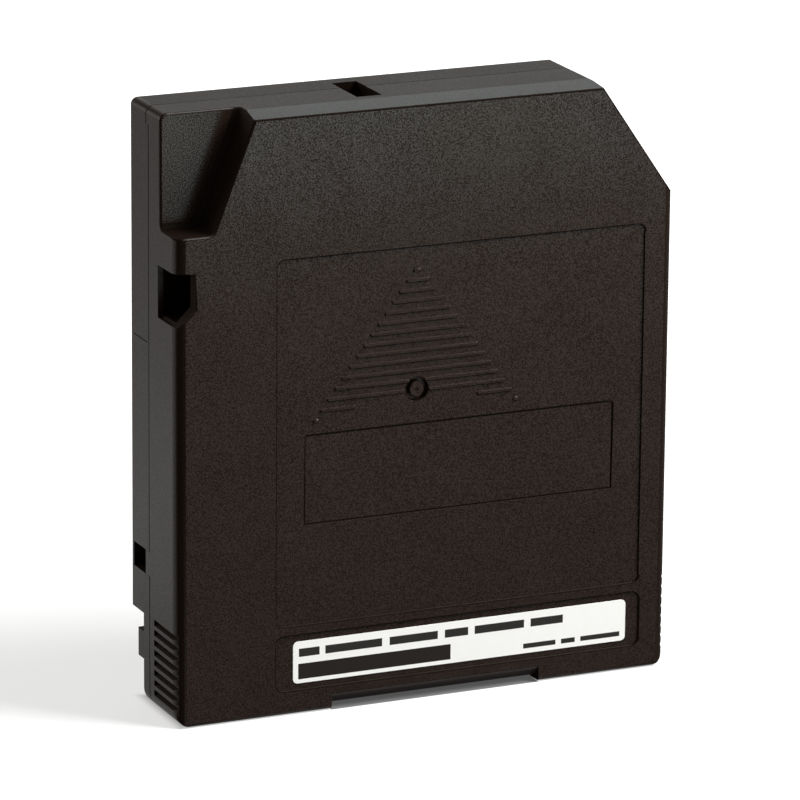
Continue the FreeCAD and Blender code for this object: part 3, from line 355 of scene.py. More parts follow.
class Graph:
    """A small writer of shader node trees."""

    def __init__(self, tree):
        self.tree = tree
        self.count = 0

    def add(self, kind, fields=None, **sockets):
        """Add a node, set its fields, and fill or link its named sockets."""
        made = self.tree.nodes.new(kind)
        row, column = divmod(self.count, NODE_COLUMNS)
        made.location = (NODE_STEP * column, -NODE_STEP * row)
        self.count += 1
        for field, value in (fields or {}).items():
            setattr(made, field, value)
        for name, value in sockets.items():
            self.fill(self.socket(made, name), value)
        return made

    def socket(self, made, name):
        """Return an input by its name in code, or by its number after an underscore."""
        if name[0] == "_":
            return made.inputs[int(name[1:])]
        return made.inputs[name.replace("_", " ")]

    def fill(self, socket, value):
        """Link an output to a socket, or set the socket's own value."""
        if isinstance(value, bpy.types.NodeSocket):
            self.tree.links.new(value, socket)
        elif hasattr(value, "__len__") and socket.type == "RGBA" and len(value) == 3:
            socket.default_value = (*value, 1.0)
        else:
            socket.default_value = value

    def math(self, operation, first, second=0.0, third=0.0, clamp=False):
        """Return the result of a math node."""
        fields = {"operation": operation, "use_clamp": clamp}
        return self.add("ShaderNodeMath", fields, _0=first, _1=second, _2=third).outputs[0]

    def highest(self, first, *others):
        """Return the highest of some values."""
        for other in others:
            first = self.math("MAXIMUM", first, other)
        return first

    def weighed(self, first, part, second):
        """Return the sum of a part of one value and the rest of another."""
        return self.math("MULTIPLY_ADD", first, part, self.math("MULTIPLY", second, 1.0 - part))

    def blend(self, factor, first, second):
        """Return a mix of two colours, whose sockets in a mix node differ only by number."""
        made = self.add("ShaderNodeMix", {"data_type": "RGBA"}, _0=factor, _6=first, _7=second)
        return made.outputs[2]

    def between(self, factor, first, second):
        """Return a value between two numbers."""
        made = self.add("ShaderNodeMapRange", None, Value=factor, From_Min=0.0, From_Max=1.0, To_Min=first,
                        To_Max=second)
        return made.outputs[0]

    def step(self, value, low, high):
        """Return a smooth step of a value between two limits."""
        made = self.add("ShaderNodeMapRange", {"interpolation_type": "SMOOTHSTEP"}, Value=value,
                        From_Min=low, From_Max=high, To_Min=0.0, To_Max=1.0)
        return made.outputs[0]

    def noise(self, vector, scale, detail=2.0, roughness=0.5):
        """Return the value of a noise texture."""
        made = self.add("ShaderNodeTexNoise", None, Vector=vector, Scale=scale, Detail=detail,
                        Roughness=roughness)
        return made.outputs[0]

    def axes(self, vector):
        """Return the three parts of a vector."""
        return self.add("ShaderNodeSeparateXYZ", None, Vector=vector).outputs

    def group(self, name, **sockets):
        """Place a shared node group."""
        return self.add("ShaderNodeGroup", {"node_tree": shared_group(name)}, **sockets).outputs


def open_group(name, takes, gives):
    """Start a shader node group with named inputs and outputs."""
    tree = bpy.data.node_groups.new(name, "ShaderNodeTree")
    for label, kind in takes:
        tree.interface.new_socket(label, in_out="INPUT", socket_type="NodeSocket" + kind)
    for label in gives:
        tree.interface.new_socket(label, in_out="OUTPUT", socket_type="NodeSocketFloat")
    graph = Graph(tree)
    return graph, graph.add("NodeGroupInput").outputs, graph.add("NodeGroupOutput").inputs


def grain_group(name):
    """Make the moulded grain: a pebbled height, and a tone of fine grains on a slow change."""
    takes = [("Vector", "Vector"), ("Grain", "Float")]
    graph, given, result = open_group(name, takes, ["Height", "Tone"])
    scale = graph.math("DIVIDE", 1.0, given["Grain"])
    fine = graph.noise(given["Vector"], scale, *FINE_NOISE)
    cells = graph.add("ShaderNodeTexVoronoi", {"feature": "SMOOTH_F1"}, Vector=given["Vector"], Scale=scale,
                      Smoothness=PEBBLE_SMOOTHNESS)
    slow = graph.noise(given["Vector"], graph.math("MULTIPLY", scale, SLOW_SCALE))
    graph.fill(result["Height"], graph.math("MULTIPLY_ADD", cells.outputs["Distance"], PEBBLE_DEPTH, fine))
    graph.fill(result["Tone"], graph.weighed(graph.step(fine, *GRAIN_TURN), GRAIN_SHARE, slow))
    return graph.tree


def painted_sheen_group(name):
    """Make the mask of painted sheen: the faces that look sideways, up, down or back get it, weaker on level
    ones.
    """
    graph, given, result = open_group(name, [("Normal", "Vector"), ("Vector", "Vector")], ["Mask"])
    x, y, z = graph.axes(given["Normal"])
    beside = graph.math("ABSOLUTE", x)
    flat = graph.step(graph.highest(beside, graph.math("ABSOLUTE", z)), *FLAT_FACING)
    not_beside = graph.math("SUBTRACT", 1.0, graph.step(beside, *SIDE_FACING))
    upward = graph.math("MULTIPLY", graph.step(z, *UP_FACING), not_beside)
    along_cut = graph.add("ShaderNodeVectorMath", {"operation": "DOT_PRODUCT"}, _0=given["Normal"],
                          _1=CUT_NORMAL).outputs["Value"]
    painted_sheen_mask = graph.highest(flat, upward, graph.step(y, *BACK_FACING), graph.step(along_cut, *CUT_FACING),
                           graph.step(z, *DOWN_FACING))
    behind = graph.math("GREATER_THAN", graph.axes(given["Vector"])["Y"], END_SEAM_Y)
    level = graph.between(graph.step(z, *LEVEL_FACING), 1.0, graph.between(behind, *LEVEL_SHEEN))
    graph.fill(result["Mask"], graph.math("MULTIPLY", painted_sheen_mask, level))
    return graph.tree


def field_group(name):
    """Make a field: one inside a rectangle of two coordinates, nought outside it."""
    takes = [(label, "Float") for label in ("Across", "Up", "Left", "Right", "Low", "High", "Edge")]
    graph, given, result = open_group(name, takes, ["Mask"])
    parts = []
    for place, first, last in (("Across", "Left", "Right"), ("Up", "Low", "High")):
        depth = graph.math("MINIMUM", graph.math("SUBTRACT", given[place], given[first]),
                           graph.math("SUBTRACT", given[last], given[place]))
        parts.append(graph.math("DIVIDE", depth, given["Edge"], clamp=True))
    graph.fill(result["Mask"], graph.math("MULTIPLY", *parts))
    return graph.tree


def turned_group(name):
    """Make the fine rings that turning or winding leaves about the reel axis."""
    graph, given, result = open_group(name, [("Vector", "Vector"), ("Pitch", "Float")], ["Lines"])
    parts = graph.axes(given["Vector"])
    across = graph.math("POWER", graph.math("SUBTRACT", parts["X"], REEL_AXIS[0]), 2.0)
    up = graph.math("POWER", graph.math("SUBTRACT", parts["Z"], REEL_AXIS[2]), 2.0)
    radius = graph.math("SQRT", graph.math("ADD", across, up))
    rings = graph.add("ShaderNodeTexNoise", {"noise_dimensions": "1D"}, Scale=1.0, Detail=3.0,
                      W=graph.math("DIVIDE", radius, given["Pitch"]))
    graph.fill(result["Lines"], rings.outputs[0])
    return graph.tree


GROUP_MAKERS = {
    "Moulded grain": grain_group,
    "Facing": painted_sheen_group,
    "Field": field_group,
    "Turned rings": turned_group,
}


def shared_group(name):
    """Return a shared node group, made when it is first needed."""
    return bpy.data.node_groups.get(name) or GROUP_MAKERS[name](name)


def open_tree(owner):
    """Return a writer of a new material's or world's tree, emptied first."""
    owner.use_nodes = True
    owner.node_tree.nodes.clear()
    return Graph(owner.node_tree)


def open_material(name, **sockets):
    """Start a material and return it with its graph, its surface's inputs and its coordinates."""
    material = bpy.data.materials.new(name)
    graph = open_tree(material)
    surface = graph.add("ShaderNodeBsdfPrincipled", None, **sockets)
    graph.add("ShaderNodeOutputMaterial", None, Surface=surface.outputs[0])
    place = graph.add("ShaderNodeTexCoord").outputs
    return material, graph, surface.inputs, place


def bump(graph, inputs, height, distance):
    """Raise a surface by a height between nought and one, times a distance."""
    made = graph.add("ShaderNodeBump", None, Strength=1.0, Distance=distance, Height=height)
    graph.fill(inputs["Normal"], made.outputs[0])


def front_field(graph, parts, field):
    """Return the mask of one field of the front, given from the case's left and bottom."""
    left, right, low, high = (MM * place for place in field)
    made = graph.group("Field", Across=parts["X"], Up=parts["Z"], Left=CAD_LOW.x + left,
                       Right=CAD_LOW.x + right, Low=low, High=high, Edge=PRINT_EDGE)
    return made["Mask"]


def painted_edge_shade_mask(graph, place):
    """Return the mask of painted shade in a thin frame just inside the inner field of the front, a dark line
    standing in for the shadow along its edge.
    """
    parts = graph.axes(place)
    left, right, low, high = INNER_FIELD
    within = (left + EDGE_SHADE_WIDTH, right - EDGE_SHADE_WIDTH, low + EDGE_SHADE_WIDTH, high - EDGE_SHADE_WIDTH)
    ring = graph.math("SUBTRACT", front_field(graph, parts, INNER_FIELD), front_field(graph, parts, within))
    front = graph.math("LESS_THAN", parts["Y"], CAD_LOW.y + EDGE_SHADE_DEPTH)
    return graph.math("MULTIPLY", front, ring)


def shell_finish(name, kind):
    """Return the black case plastic for one kind of its faces."""
    wanted = settings("shell")
    look = SHELL_FACES[kind]
    material, graph, inputs, place = open_material(name, Specular_IOR_Level=SHELL_SPECULAR,
                                                   Coat_IOR=COAT_IOR, Coat_Roughness=look["coat_rough"])
    grain = graph.group("Moulded grain", Vector=place["Object"], Grain=wanted.grain)
    # Painted shade: each kind's shade darkens both tones, most on sunk faces.
    deep, pale = (dimmed(tone, look["shade"]) for tone in (wanted.deep, wanted.pale))
    tint = graph.blend(grain["Tone"], deep, pale)
    rough = (look["rough"] + swing for swing in SHELL_SWING)
    graph.fill(inputs["Roughness"], graph.between(grain["Tone"], *rough))
    bump(graph, inputs, grain["Height"], look["relief"] * wanted.grain_depth)
    if kind == "smooth":
        # Painted sheen: the coat on smooth faces is weighed by where each face looks.
        painted_sheen_mask = graph.group("Facing", Normal=place["Normal"], Vector=place["Object"])
        speckled = graph.between(grain["Tone"], *dimmed(SHEEN_SPECKLE, wanted.sheen))
        graph.fill(inputs["Coat Weight"], graph.math("MULTIPLY", painted_sheen_mask["Mask"], speckled))
    if kind == "grained":
        # Painted shade: the frame round the inner field is darkened and loses its coat, standing in for the
        # shadow along the field's edge.
        edge_shade = painted_edge_shade_mask(graph, place["Object"])
        tint = graph.blend(edge_shade, tint, dimmed(deep, PAINTED_EDGE_SHADE))
        gloss = graph.between(edge_shade, wanted.gloss, 0.0)
        graph.fill(inputs["Coat Weight"], graph.math("MULTIPLY", grain["Tone"], gloss))
    graph.fill(inputs["Base Color"], tint)
    return material


def label_finish(name):
    """Return the white label film with a plain dark block and plain bars."""
    wanted = settings("label")
    material, graph, inputs, place = open_material(name, Specular_IOR_Level=LABEL_SPECULAR)
    parts = graph.axes(place["Object"])
    fibres = graph.noise(place["Object"], FIBRE_SCALE, *FINE_NOISE)
    marks = graph.math("MULTIPLY", fibres, FIBRE_SHARE)
    paper = graph.blend(marks, wanted.paper, wanted.fibre)
    bars = graph.highest(*(front_field(graph, parts, field) for field in PRINTED_BARS))
    barred = graph.blend(bars, paper, wanted.line_ink)
    block = front_field(graph, parts, PRINTED_BLOCK)
    graph.fill(inputs["Base Color"], graph.blend(block, barred, wanted.ink))
    graph.fill(inputs["Roughness"], graph.between(fibres, *LABEL_ROUGH))
    bump(graph, inputs, fibres, FIBRE_HEIGHT)
    return material


def moulded_finish(name, tint, rough, ringed=False):
    """Return a plain moulded plastic, with turned rings where the tool was turned."""
    material, graph, inputs, place = open_material(name, Specular_IOR_Level=MOULDED_SPECULAR)
    grain = graph.group("Moulded grain", Vector=place["Object"], Grain=MOULDED_GRAIN)
    tone, height = grain["Tone"], grain["Height"]
    if ringed:
        rings = graph.group("Turned rings", Vector=place["Object"], Pitch=MOULDED_RINGS)
        tone = graph.weighed(rings["Lines"], RINGED_TONE, tone)
        height = graph.weighed(rings["Lines"], RINGED_HEIGHT, height)
    graph.fill(inputs["Base Color"], graph.blend(tone, dimmed(tint, MOULDED_DARK), tint))
    graph.fill(inputs["Roughness"], graph.between(tone, *(rough + swing for swing in MOULDED_SWING)))
    bump(graph, inputs, height, MOULDED_HEIGHT)
    return material


def steel_finish(name, tint, rough, pitch):
    """Return steel with fine tool marks."""
    material, graph, inputs, place = open_material(name, Metallic=1.0)
    rings = graph.group("Turned rings", Vector=place["Object"], Pitch=pitch)
    stain = graph.noise(place["Object"], STAIN_SCALE, *STAIN_NOISE)
    tone = graph.weighed(rings["Lines"], STEEL_RINGED, stain)
    graph.fill(inputs["Base Color"], graph.blend(tone, dimmed(tint, STEEL_DARK), tint))
    graph.fill(inputs["Roughness"], graph.between(tone, *(rough + swing for swing in STEEL_SWING)))
    bump(graph, inputs, tone, STEEL_HEIGHT)
    return material


def tape_finish(name):
    """Return the dark coated tape: the edges of its turns show as fine rings."""
    material, graph, inputs, place = open_material(name, Specular_IOR_Level=TAPE_SPECULAR)
    tint = settings("inside").tape
    rings = graph.group("Turned rings", Vector=place["Object"], Pitch=TAPE_RINGS)
    graph.fill(inputs["Base Color"], graph.blend(rings["Lines"], dimmed(tint, TAPE_DARK), tint))
    graph.fill(inputs["Roughness"], graph.between(rings["Lines"], *TAPE_ROUGH))
    bump(graph, inputs, rings["Lines"], TAPE_HEIGHT)
    return material


def board_finish(name):
    """Return the coated board with copper loops round its rim."""
    wanted = settings("inside")
    material, graph, inputs, place = open_material(name, Specular_IOR_Level=BOARD_SPECULAR)
    low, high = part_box("memory_board")
    turned = graph.add("ShaderNodeMapping", {"vector_type": "TEXTURE"}, Vector=place["Object"],
                       Location=tuple((low + high) / 2), Rotation=(BOARD_TURN, 0.0, 0.0))
    parts = graph.axes(turned.outputs[0])
    edge = graph.math("MINIMUM", graph.math("SUBTRACT", BOARD_HALF_LONG, graph.math("ABSOLUTE", parts["X"])),
                      graph.math("SUBTRACT", BOARD_HALF_WIDE, graph.math("ABSOLUTE", parts["Y"])))
    loops = graph.math("LESS_THAN", graph.math("FRACT", graph.math("DIVIDE", edge, LOOP_PITCH)), LOOP_SHARE)
    rim = graph.math("LESS_THAN", edge, LOOP_COUNT * LOOP_PITCH)
    copper = graph.math("MULTIPLY", loops, rim)
    weave = graph.noise(place["Object"], WEAVE_SCALE)
    laminate = graph.blend(weave, dimmed(wanted.laminate, BOARD_DARK), wanted.laminate)
    graph.fill(inputs["Base Color"], graph.blend(copper, laminate, wanted.copper))
    graph.fill(inputs["Roughness"], graph.between(weave, *BOARD_ROUGH))
    bump(graph, inputs, graph.weighed(copper, COPPER_HEIGHT, weave), BOARD_HEIGHT)
    return material


def finish_of(slot):
    """Return the finished material of one of the record's slots, made when it is first needed."""
    name = "finish_" + slot
    made = bpy.data.materials.get(name)
    if made:
        return made
    wanted = settings("inside")
    makers = {
        "shell_plastic": lambda: shell_finish(name, "hollow"),
        "label_film": lambda: label_finish(name),
        "tape_film": lambda: tape_finish(name),
        "board_laminate": lambda: board_finish(name),
        "reel_plastic": lambda: moulded_finish(name, wanted.natural, rough=0.36, ringed=True),
        "flange_plastic": lambda: moulded_finish(name, wanted.natural, rough=0.32, ringed=True),
        "brake_plastic": lambda: moulded_finish(name, wanted.natural, rough=0.45, ringed=True),
        "pad_plastic": lambda: moulded_finish(name, wanted.grey, rough=0.45, ringed=True),
        "clip_plastic": lambda: moulded_finish(name, wanted.grey, rough=0.45),
        "door_plastic": lambda: moulded_finish(name, wanted.grey, rough=0.48),
        "switch_plastic": lambda: moulded_finish(name, wanted.grey, rough=0.48),
        "chip_plastic": lambda: moulded_finish(name, wanted.chip, rough=0.55),
        "plate_steel": lambda: steel_finish(name, wanted.steel, rough=0.34, pitch=0.3 * MM),
        "pin_steel": lambda: steel_finish(name, wanted.steel, rough=0.18, pitch=0.8 * MM),
        "spring_steel": lambda: steel_finish(name, wanted.steel, rough=0.28, pitch=0.6 * MM),
        "screw_steel": lambda: steel_finish(name, wanted.dark_steel, rough=0.32, pitch=0.5 * MM),
    }
    return makers[slot]()


def dress(*nodes):
    """Give CAD nodes their finished materials."""
    for name in nodes:
        frame["nodes"][name].material_slots[0].material = finish_of(SLOT_OF[name])


def clear_selection():
    """Leave edit mode and deselect everything."""
    if bpy.context.object and bpy.context.object.mode != "OBJECT":
        bpy.ops.object.mode_set(mode="OBJECT")
    bpy.ops.object.select_all(action="DESELECT")


def select_only(*pieces):
    """Select some pieces, the first of them active."""
    clear_selection()
    for piece in pieces:
        piece.select_set(True)
    bpy.context.view_layer.objects.active = pieces[0]


def select_faces(piece, wanted):
    """Enter edit mode with only those faces selected whose middle and normal pass a test."""
    select_only(piece)
    bpy.ops.object.mode_set(mode="EDIT")
    bpy.ops.mesh.select_mode(type="FACE")
    bpy.ops.mesh.select_all(action="DESELECT")
    bpy.ops.object.mode_set(mode="OBJECT")
    for face in piece.data.polygons:
        face.select = wanted(face.center, face.normal)
    bpy.ops.object.mode_set(mode="EDIT")


def apply_modifier(piece, kind, name, **fields):
    """Add a modifier to a piece and apply it."""
    select_only(piece)
    made = piece.modifiers.new(name, kind)
    for field, value in fields.items():
        setattr(made, field, value)
    bpy.ops.object.modifier_apply(modifier=made.name)


def settle(piece, name, body, slot, *nodes):
    """Put a finished piece at the origin, name and finish it, and make it ride on its body."""
    select_only(piece)
    bpy.ops.object.transform_apply(location=True, rotation=True, scale=True)
    piece.name = name
    piece.data.name = name
    piece.data.materials.clear()
    piece.data.materials.append(finish_of(slot))
    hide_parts(*nodes)
    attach(piece, body)


def inside(block, point):
    """Tell whether a point lies in a block."""
    return all(low < place < high for low, place, high in zip(block[0], point, block[1]))


def in_hollow(point):
    """Tell whether a point lies in one of the case's openings, and not on the outside."""
    return inside(INNER, point) and any(inside(block, point) for block in HOLLOWS)


def shell_face(middle, normal):
    """Return which of the shell's finishes a face has, by its place and normal; sunk faces get the first
    kind's painted shade, and smooth faces a sheen painted by where they look.
    """
    if normal.dot(CUT_NORMAL) > ALONG_CUT or normal.z < DOWNWARD and inside(SCOOP, middle):
        return "smooth"
    flat = abs(normal.y) > FLAT
    lit = normal.z > LIT and normal.y < -LIT
    at_front = middle.y < CAD_LOW.y + FRONT_SKIN
    if lit and inside(PANEL_FOOT, middle):
        return "smooth"
    if inside(PANEL, middle):
        return "grained" if flat or lit else "hollow"
    if lit and at_front and abs(middle.z - BEVEL_LINE_Z) < FRONT_SKIN:
        return "hollow"
    at_rim = at_front or middle.z > CAD_HIGH.z - FRONT_SKIN
    if in_hollow(middle) and not (lit and at_rim):
        return "hollow"
    return "grained" if flat else "smooth"


def round_scoop(piece):
    """Turn the scoop's hollow curve over its chord, so that it rounds away from the front."""
    across = Vector((0.0, SCOOP_RISE, SCOOP_RUN)).normalized()
    start = CAD_LOW + Vector((0.0, 0.0, SCOOP_RISE))
    for vertex in piece.data.vertices:
        far = across.dot(vertex.co - start)
        if inside(SCOOP_CURVE, vertex.co) and 0.0 < far < SCOOP_SAG:
            vertex.co -= 2.0 * far * across


def edge_width(first, last, wanted):
    """Return a sharp edge's bevel: widest on the front face and the step's top rim, less in sunk fields."""
    off_dot = math.hypot(first.x - REEL_AXIS[0], first.z - REEL_AXIS[2]) > DOT_REACH
    if off_dot and min(first.z, last.z) > SCOOP_TOP:
        depth = max(first.y, last.y) - CAD_LOW.y
        if depth < OUTER_SKIN or inside(STEP_RIM, first) and inside(STEP_RIM, last):
            return wanted.front_edge
        if depth < FIELD_SKIN:
            return wanted.field_edge
    return wanted.edge


def weigh_edges(piece, wanted):
    """Weigh the sharp edges that stand out by the width of their bevels."""
    weights = piece.data.attributes.new("bevel_weight_edge", "FLOAT", "EDGE")
    places = [vertex.co for vertex in piece.data.vertices]
    sides = {}
    for face in piece.data.polygons:
        for key in face.edge_keys:
            sides.setdefault(key, []).append(face)
    for index, edge in enumerate(piece.data.edges):
        one, other = sides[edge.key]
        sunk = (other.center - one.center).dot(one.normal) > 0.0
        if sunk or one.normal.angle(other.normal) < SHARP:
            continue
        first, last = (places[end] for end in edge.vertices)
        weights.data[index].value = edge_width(first, last, wanted) / wanted.front_edge


def softened(node, name, body):
    """Model a shell from its CAD node: joined faces, a round scoop, bevelled edges, and finishes by face
    that paint shade and sheen.
    """
    wanted = settings("shell")
    select_only(frame["nodes"][node])
    bpy.ops.object.duplicate(linked=False)
    piece = bpy.context.object
    del piece["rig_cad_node"]
    bpy.ops.object.parent_clear(type="CLEAR_KEEP_TRANSFORM")
    bpy.ops.mesh.customdata_custom_splitnormals_clear()
    bpy.ops.object.mode_set(mode="EDIT")
    bpy.ops.mesh.select_all(action="SELECT")
    bpy.ops.mesh.remove_doubles(threshold=MICRON)
    bpy.ops.mesh.dissolve_limited(angle_limit=SAME_PLANE)
    bpy.ops.object.mode_set(mode="OBJECT")
    round_scoop(piece)
    weigh_edges(piece, wanted)
    apply_modifier(piece, "BEVEL", "edges", width=wanted.front_edge, segments=2, limit_method="WEIGHT",
                   use_clamp_overlap=False)
    for vertex in piece.data.vertices:
        vertex.co = [min(max(place, low), high) for low, place, high in zip(CAD_LOW, vertex.co, CAD_HIGH)]
    bpy.ops.object.shade_smooth_by_angle(angle=SMOOTH_ANGLE)
    apply_modifier(piece, "WEIGHTED_NORMAL", "even shading", keep_sharp=True)
    settle(piece, name, body, "shell_plastic", node)
    kinds = list(SHELL_FACES)
    for kind in kinds[1:]:
        label = "finish_shell_" + kind
        piece.data.materials.append(bpy.data.materials.get(label) or shell_finish(label, kind))
    for face in piece.data.polygons:
        face.material_index = kinds.index(shell_face(face.center, face.normal))


class CARTRIDGE_OT_case(bpy.types.Operator):
    """Model both shells of the case with softened edges"""

    bl_idname = "cartridge.case"
    bl_label = "Case shells"

    def execute(self, context):
        softened("upper_shell", "upper_shell_soft", "case")
        softened("lower_shell", "lower_shell_soft", "case")
        return {"FINISHED"}


class CARTRIDGE_OT_label(bpy.types.Operator):
    """Finish the white label"""

    bl_idname = "cartridge.label"
    bl_label = "Label"

    def execute(self, context):
        dress("front_label")
        return {"FINISHED"}


class CARTRIDGE_OT_reel(bpy.types.Operator):
    """Finish the reel, its tape, the brake and the release pad"""

    bl_idname = "cartridge.reel"
    bl_label = "Reel and brake"

    def execute(self, context):
        dress("reel_hub", "reel_flange", "reel_plate", "tape_pack", "brake_button", "release_pad")
        return {"FINISHED"}


class CARTRIDGE_OT_leader(bpy.types.Operator):
    """Finish the leader's tape, pin, clip and springs"""

    bl_idname = "cartridge.leader"
    bl_label = "Leader"

    def execute(self, context):
        dress("leader_tape", "leader_pin", "leader_clip", "pin_springs")
        return {"FINISHED"}


class CARTRIDGE_OT_small_parts(bpy.types.Operator):
    """Finish the door, the switch and the memory board"""

    bl_idname = "cartridge.small_parts"
    bl_label = "Door, switch and memory"

    def execute(self, context):
        dress("door", "write_protect_switch", "memory_board", "memory_chip")
        return {"FINISHED"}


def screw_blank(wanted, place):
    """Return one screw: a head with a rounded rim on a threaded shank, along +Y."""
    head_middle = SCREW_HIGH.y - wanted.head_height / 2
    bpy.ops.mesh.primitive_cylinder_add(vertices=SCREW_SIDES, radius=wanted.head_radius,
                                        depth=wanted.head_height, location=(place.x, head_middle, place.z),
                                        rotation=(math.radians(-90.0), 0.0, 0.0))
    screw = bpy.context.object
    bpy.ops.object.transform_apply(location=True, rotation=True, scale=True)
    select_faces(screw, lambda middle, normal: normal.y < -END_FACE)
    bpy.ops.mesh.inset(thickness=wanted.head_radius - wanted.shank_radius, depth=0.0)
    shank = SCREW_HIGH.y - wanted.head_height - SCREW_LOW.y
    turns = int(shank / THREAD_PITCH)
    half_turn = (0.0, -shank / turns / 2, 0.0)
    for _ in range(turns):
        for factor in (THREAD_ROOT, 1.0 / THREAD_ROOT):
            bpy.ops.mesh.extrude_region_move(TRANSFORM_OT_translate={"value": half_turn})
            bpy.ops.transform.resize(value=(factor, 1.0, factor), center_override=place)
    bpy.ops.object.mode_set(mode="OBJECT")
    apply_modifier(screw, "BEVEL", "rim", width=RIM_BEVEL, segments=3, limit_method="ANGLE",
                   angle_limit=RIM_SHARP)
    return screw


def recess_cutter(wanted, place):
    """Return the tapered square that is cut into a screw head."""
    clear_selection()
    depth = RECESS_SHARE * wanted.head_height
    middle = (place.x, SCREW_HIGH.y - depth / 2 + RECESS_PROUD, place.z)
    bpy.ops.mesh.primitive_cube_add(size=1.0, location=middle)
    cutter = bpy.context.object
    cutter.scale = (2 * wanted.recess, depth + 2 * RECESS_PROUD, 2 * wanted.recess)
    bpy.ops.object.transform_apply(location=True, rotation=True, scale=True)
    select_faces(cutter, lambda centre, normal: normal.y < -END_FACE)
    bpy.ops.transform.resize(value=(RECESS_TAPER, 1.0, RECESS_TAPER), center_override=place)
    bpy.ops.object.mode_set(mode="OBJECT")
    return cutter


class CARTRIDGE_OT_screws(bpy.types.Operator):
    """Model the four case screws with threads and square recesses"""

    bl_idname = "cartridge.screws"
    bl_label = "Case screws"

    def execute(self, context):
        wanted = settings("inside")
        clear_selection()
        first, *others = SCREW_PLACES
        screw = screw_blank(wanted, first)
        cutter = recess_cutter(wanted, first)
        apply_modifier(screw, "BOOLEAN", "recess", operation="DIFFERENCE", object=cutter, solver="EXACT")
        bpy.data.objects.remove(cutter)
        copies = [screw]
        for index, place in enumerate(others, 1):
            select_only(screw)
            bpy.ops.object.duplicate(linked=False)
            copy = bpy.context.object
            turn = Matrix.Rotation(SCREW_TURN * index, 4, "Y")
            copy.data.transform(Matrix.Translation(place) @ turn @ Matrix.Translation(-first))
            copies.append(copy)
        select_only(*copies)
        bpy.ops.object.join()
        bpy.ops.object.shade_smooth_by_angle(angle=SMOOTH_ANGLE)
        settle(screw, "case_screws_cut", "case", "screw_steel", "case_screws")
        return {"FINISHED"}


def spring(start, end, radius, wire, turns):
    """Return a round wire spring between two points, by turning a circle about its axis."""
    wanted = settings("inside")
    clear_selection()
    bpy.ops.mesh.primitive_circle_add(vertices=wanted.coil_sides, radius=wire, fill_type="NOTHING",
                                      location=(radius, 0.0, wire), rotation=(math.radians(90.0), 0.0, 0.0))
    coil = bpy.context.object
    bpy.ops.object.transform_apply(location=True, rotation=True, scale=True)
    run = end - start
    rise = (run.length - 2 * wire) / turns
    apply_modifier(coil, "SCREW", "turns", axis="Z", angle=math.radians(360.0), screw_offset=rise,
                   iterations=turns, steps=wanted.coil_steps, render_steps=wanted.coil_steps,
                   use_smooth_shade=True)
    select_only(coil)
    bpy.ops.object.mode_set(mode="EDIT")
    bpy.ops.mesh.select_all(action="SELECT")
    bpy.ops.mesh.fill_holes(sides=wanted.coil_sides)
    bpy.ops.mesh.normals_make_consistent(inside=False)
    bpy.ops.object.mode_set(mode="OBJECT")
    coil.data.transform(Matrix.Translation(start) @ run.to_track_quat("Z", "X").to_matrix().to_4x4())
    bpy.ops.object.shade_smooth_by_angle(angle=COIL_SMOOTH_ANGLE)
    return coil


class CARTRIDGE_OT_springs(bpy.types.Operator):
    """Model the brake spring and the door spring as round wire"""

    bl_idname = "cartridge.springs"
    bl_label = "Coil springs"

    def execute(self, context):
        lift = JOINTS["brake_lift"]
        seat = Vector((REEL_AXIS[0], lift["deforming_nodes"][0]["fixed_end_y_m"], REEL_AXIS[2]))
        top = Vector((REEL_AXIS[0], lift["pos_m"][1], REEL_AXIS[2]))
        coil = spring(seat, top, *BRAKE_COIL)
        settle(coil, "brake_spring_round", "case", "spring_steel", "brake_spring")
        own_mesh(coil)
        seat, top = Vector(DOOR_SEAT), Vector(DOOR_TOP)
        coil = spring(seat, top, *DOOR_COIL)
        settle(coil, "door_spring_round", "case", "spring_steel", "door_spring")
        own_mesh(coil)
        return {"FINISHED"}


def lamp(name, watts, tint, size, place, target):
    """Add a soft square lamp that faces a point."""
    data = bpy.data.lights.new(name, "AREA")
    data.shape = "SQUARE"
    data.size = size
    data.energy = watts
    data.color = tint
    made = bpy.data.objects.new(name, data)
    bpy.context.scene.collection.objects.link(made)
    made.location = place
    made.rotation_euler = (Vector(target) - Vector(place)).to_track_quat("-Z", "Y").to_euler()


def seen_rays(graph):
    """Return a mask of camera, glossy and transmitted rays."""
    rays = graph.add("ShaderNodeLightPath").outputs
    return graph.highest(rays["Is Camera Ray"], rays["Is Glossy Ray"], rays["Is Transmission Ray"])


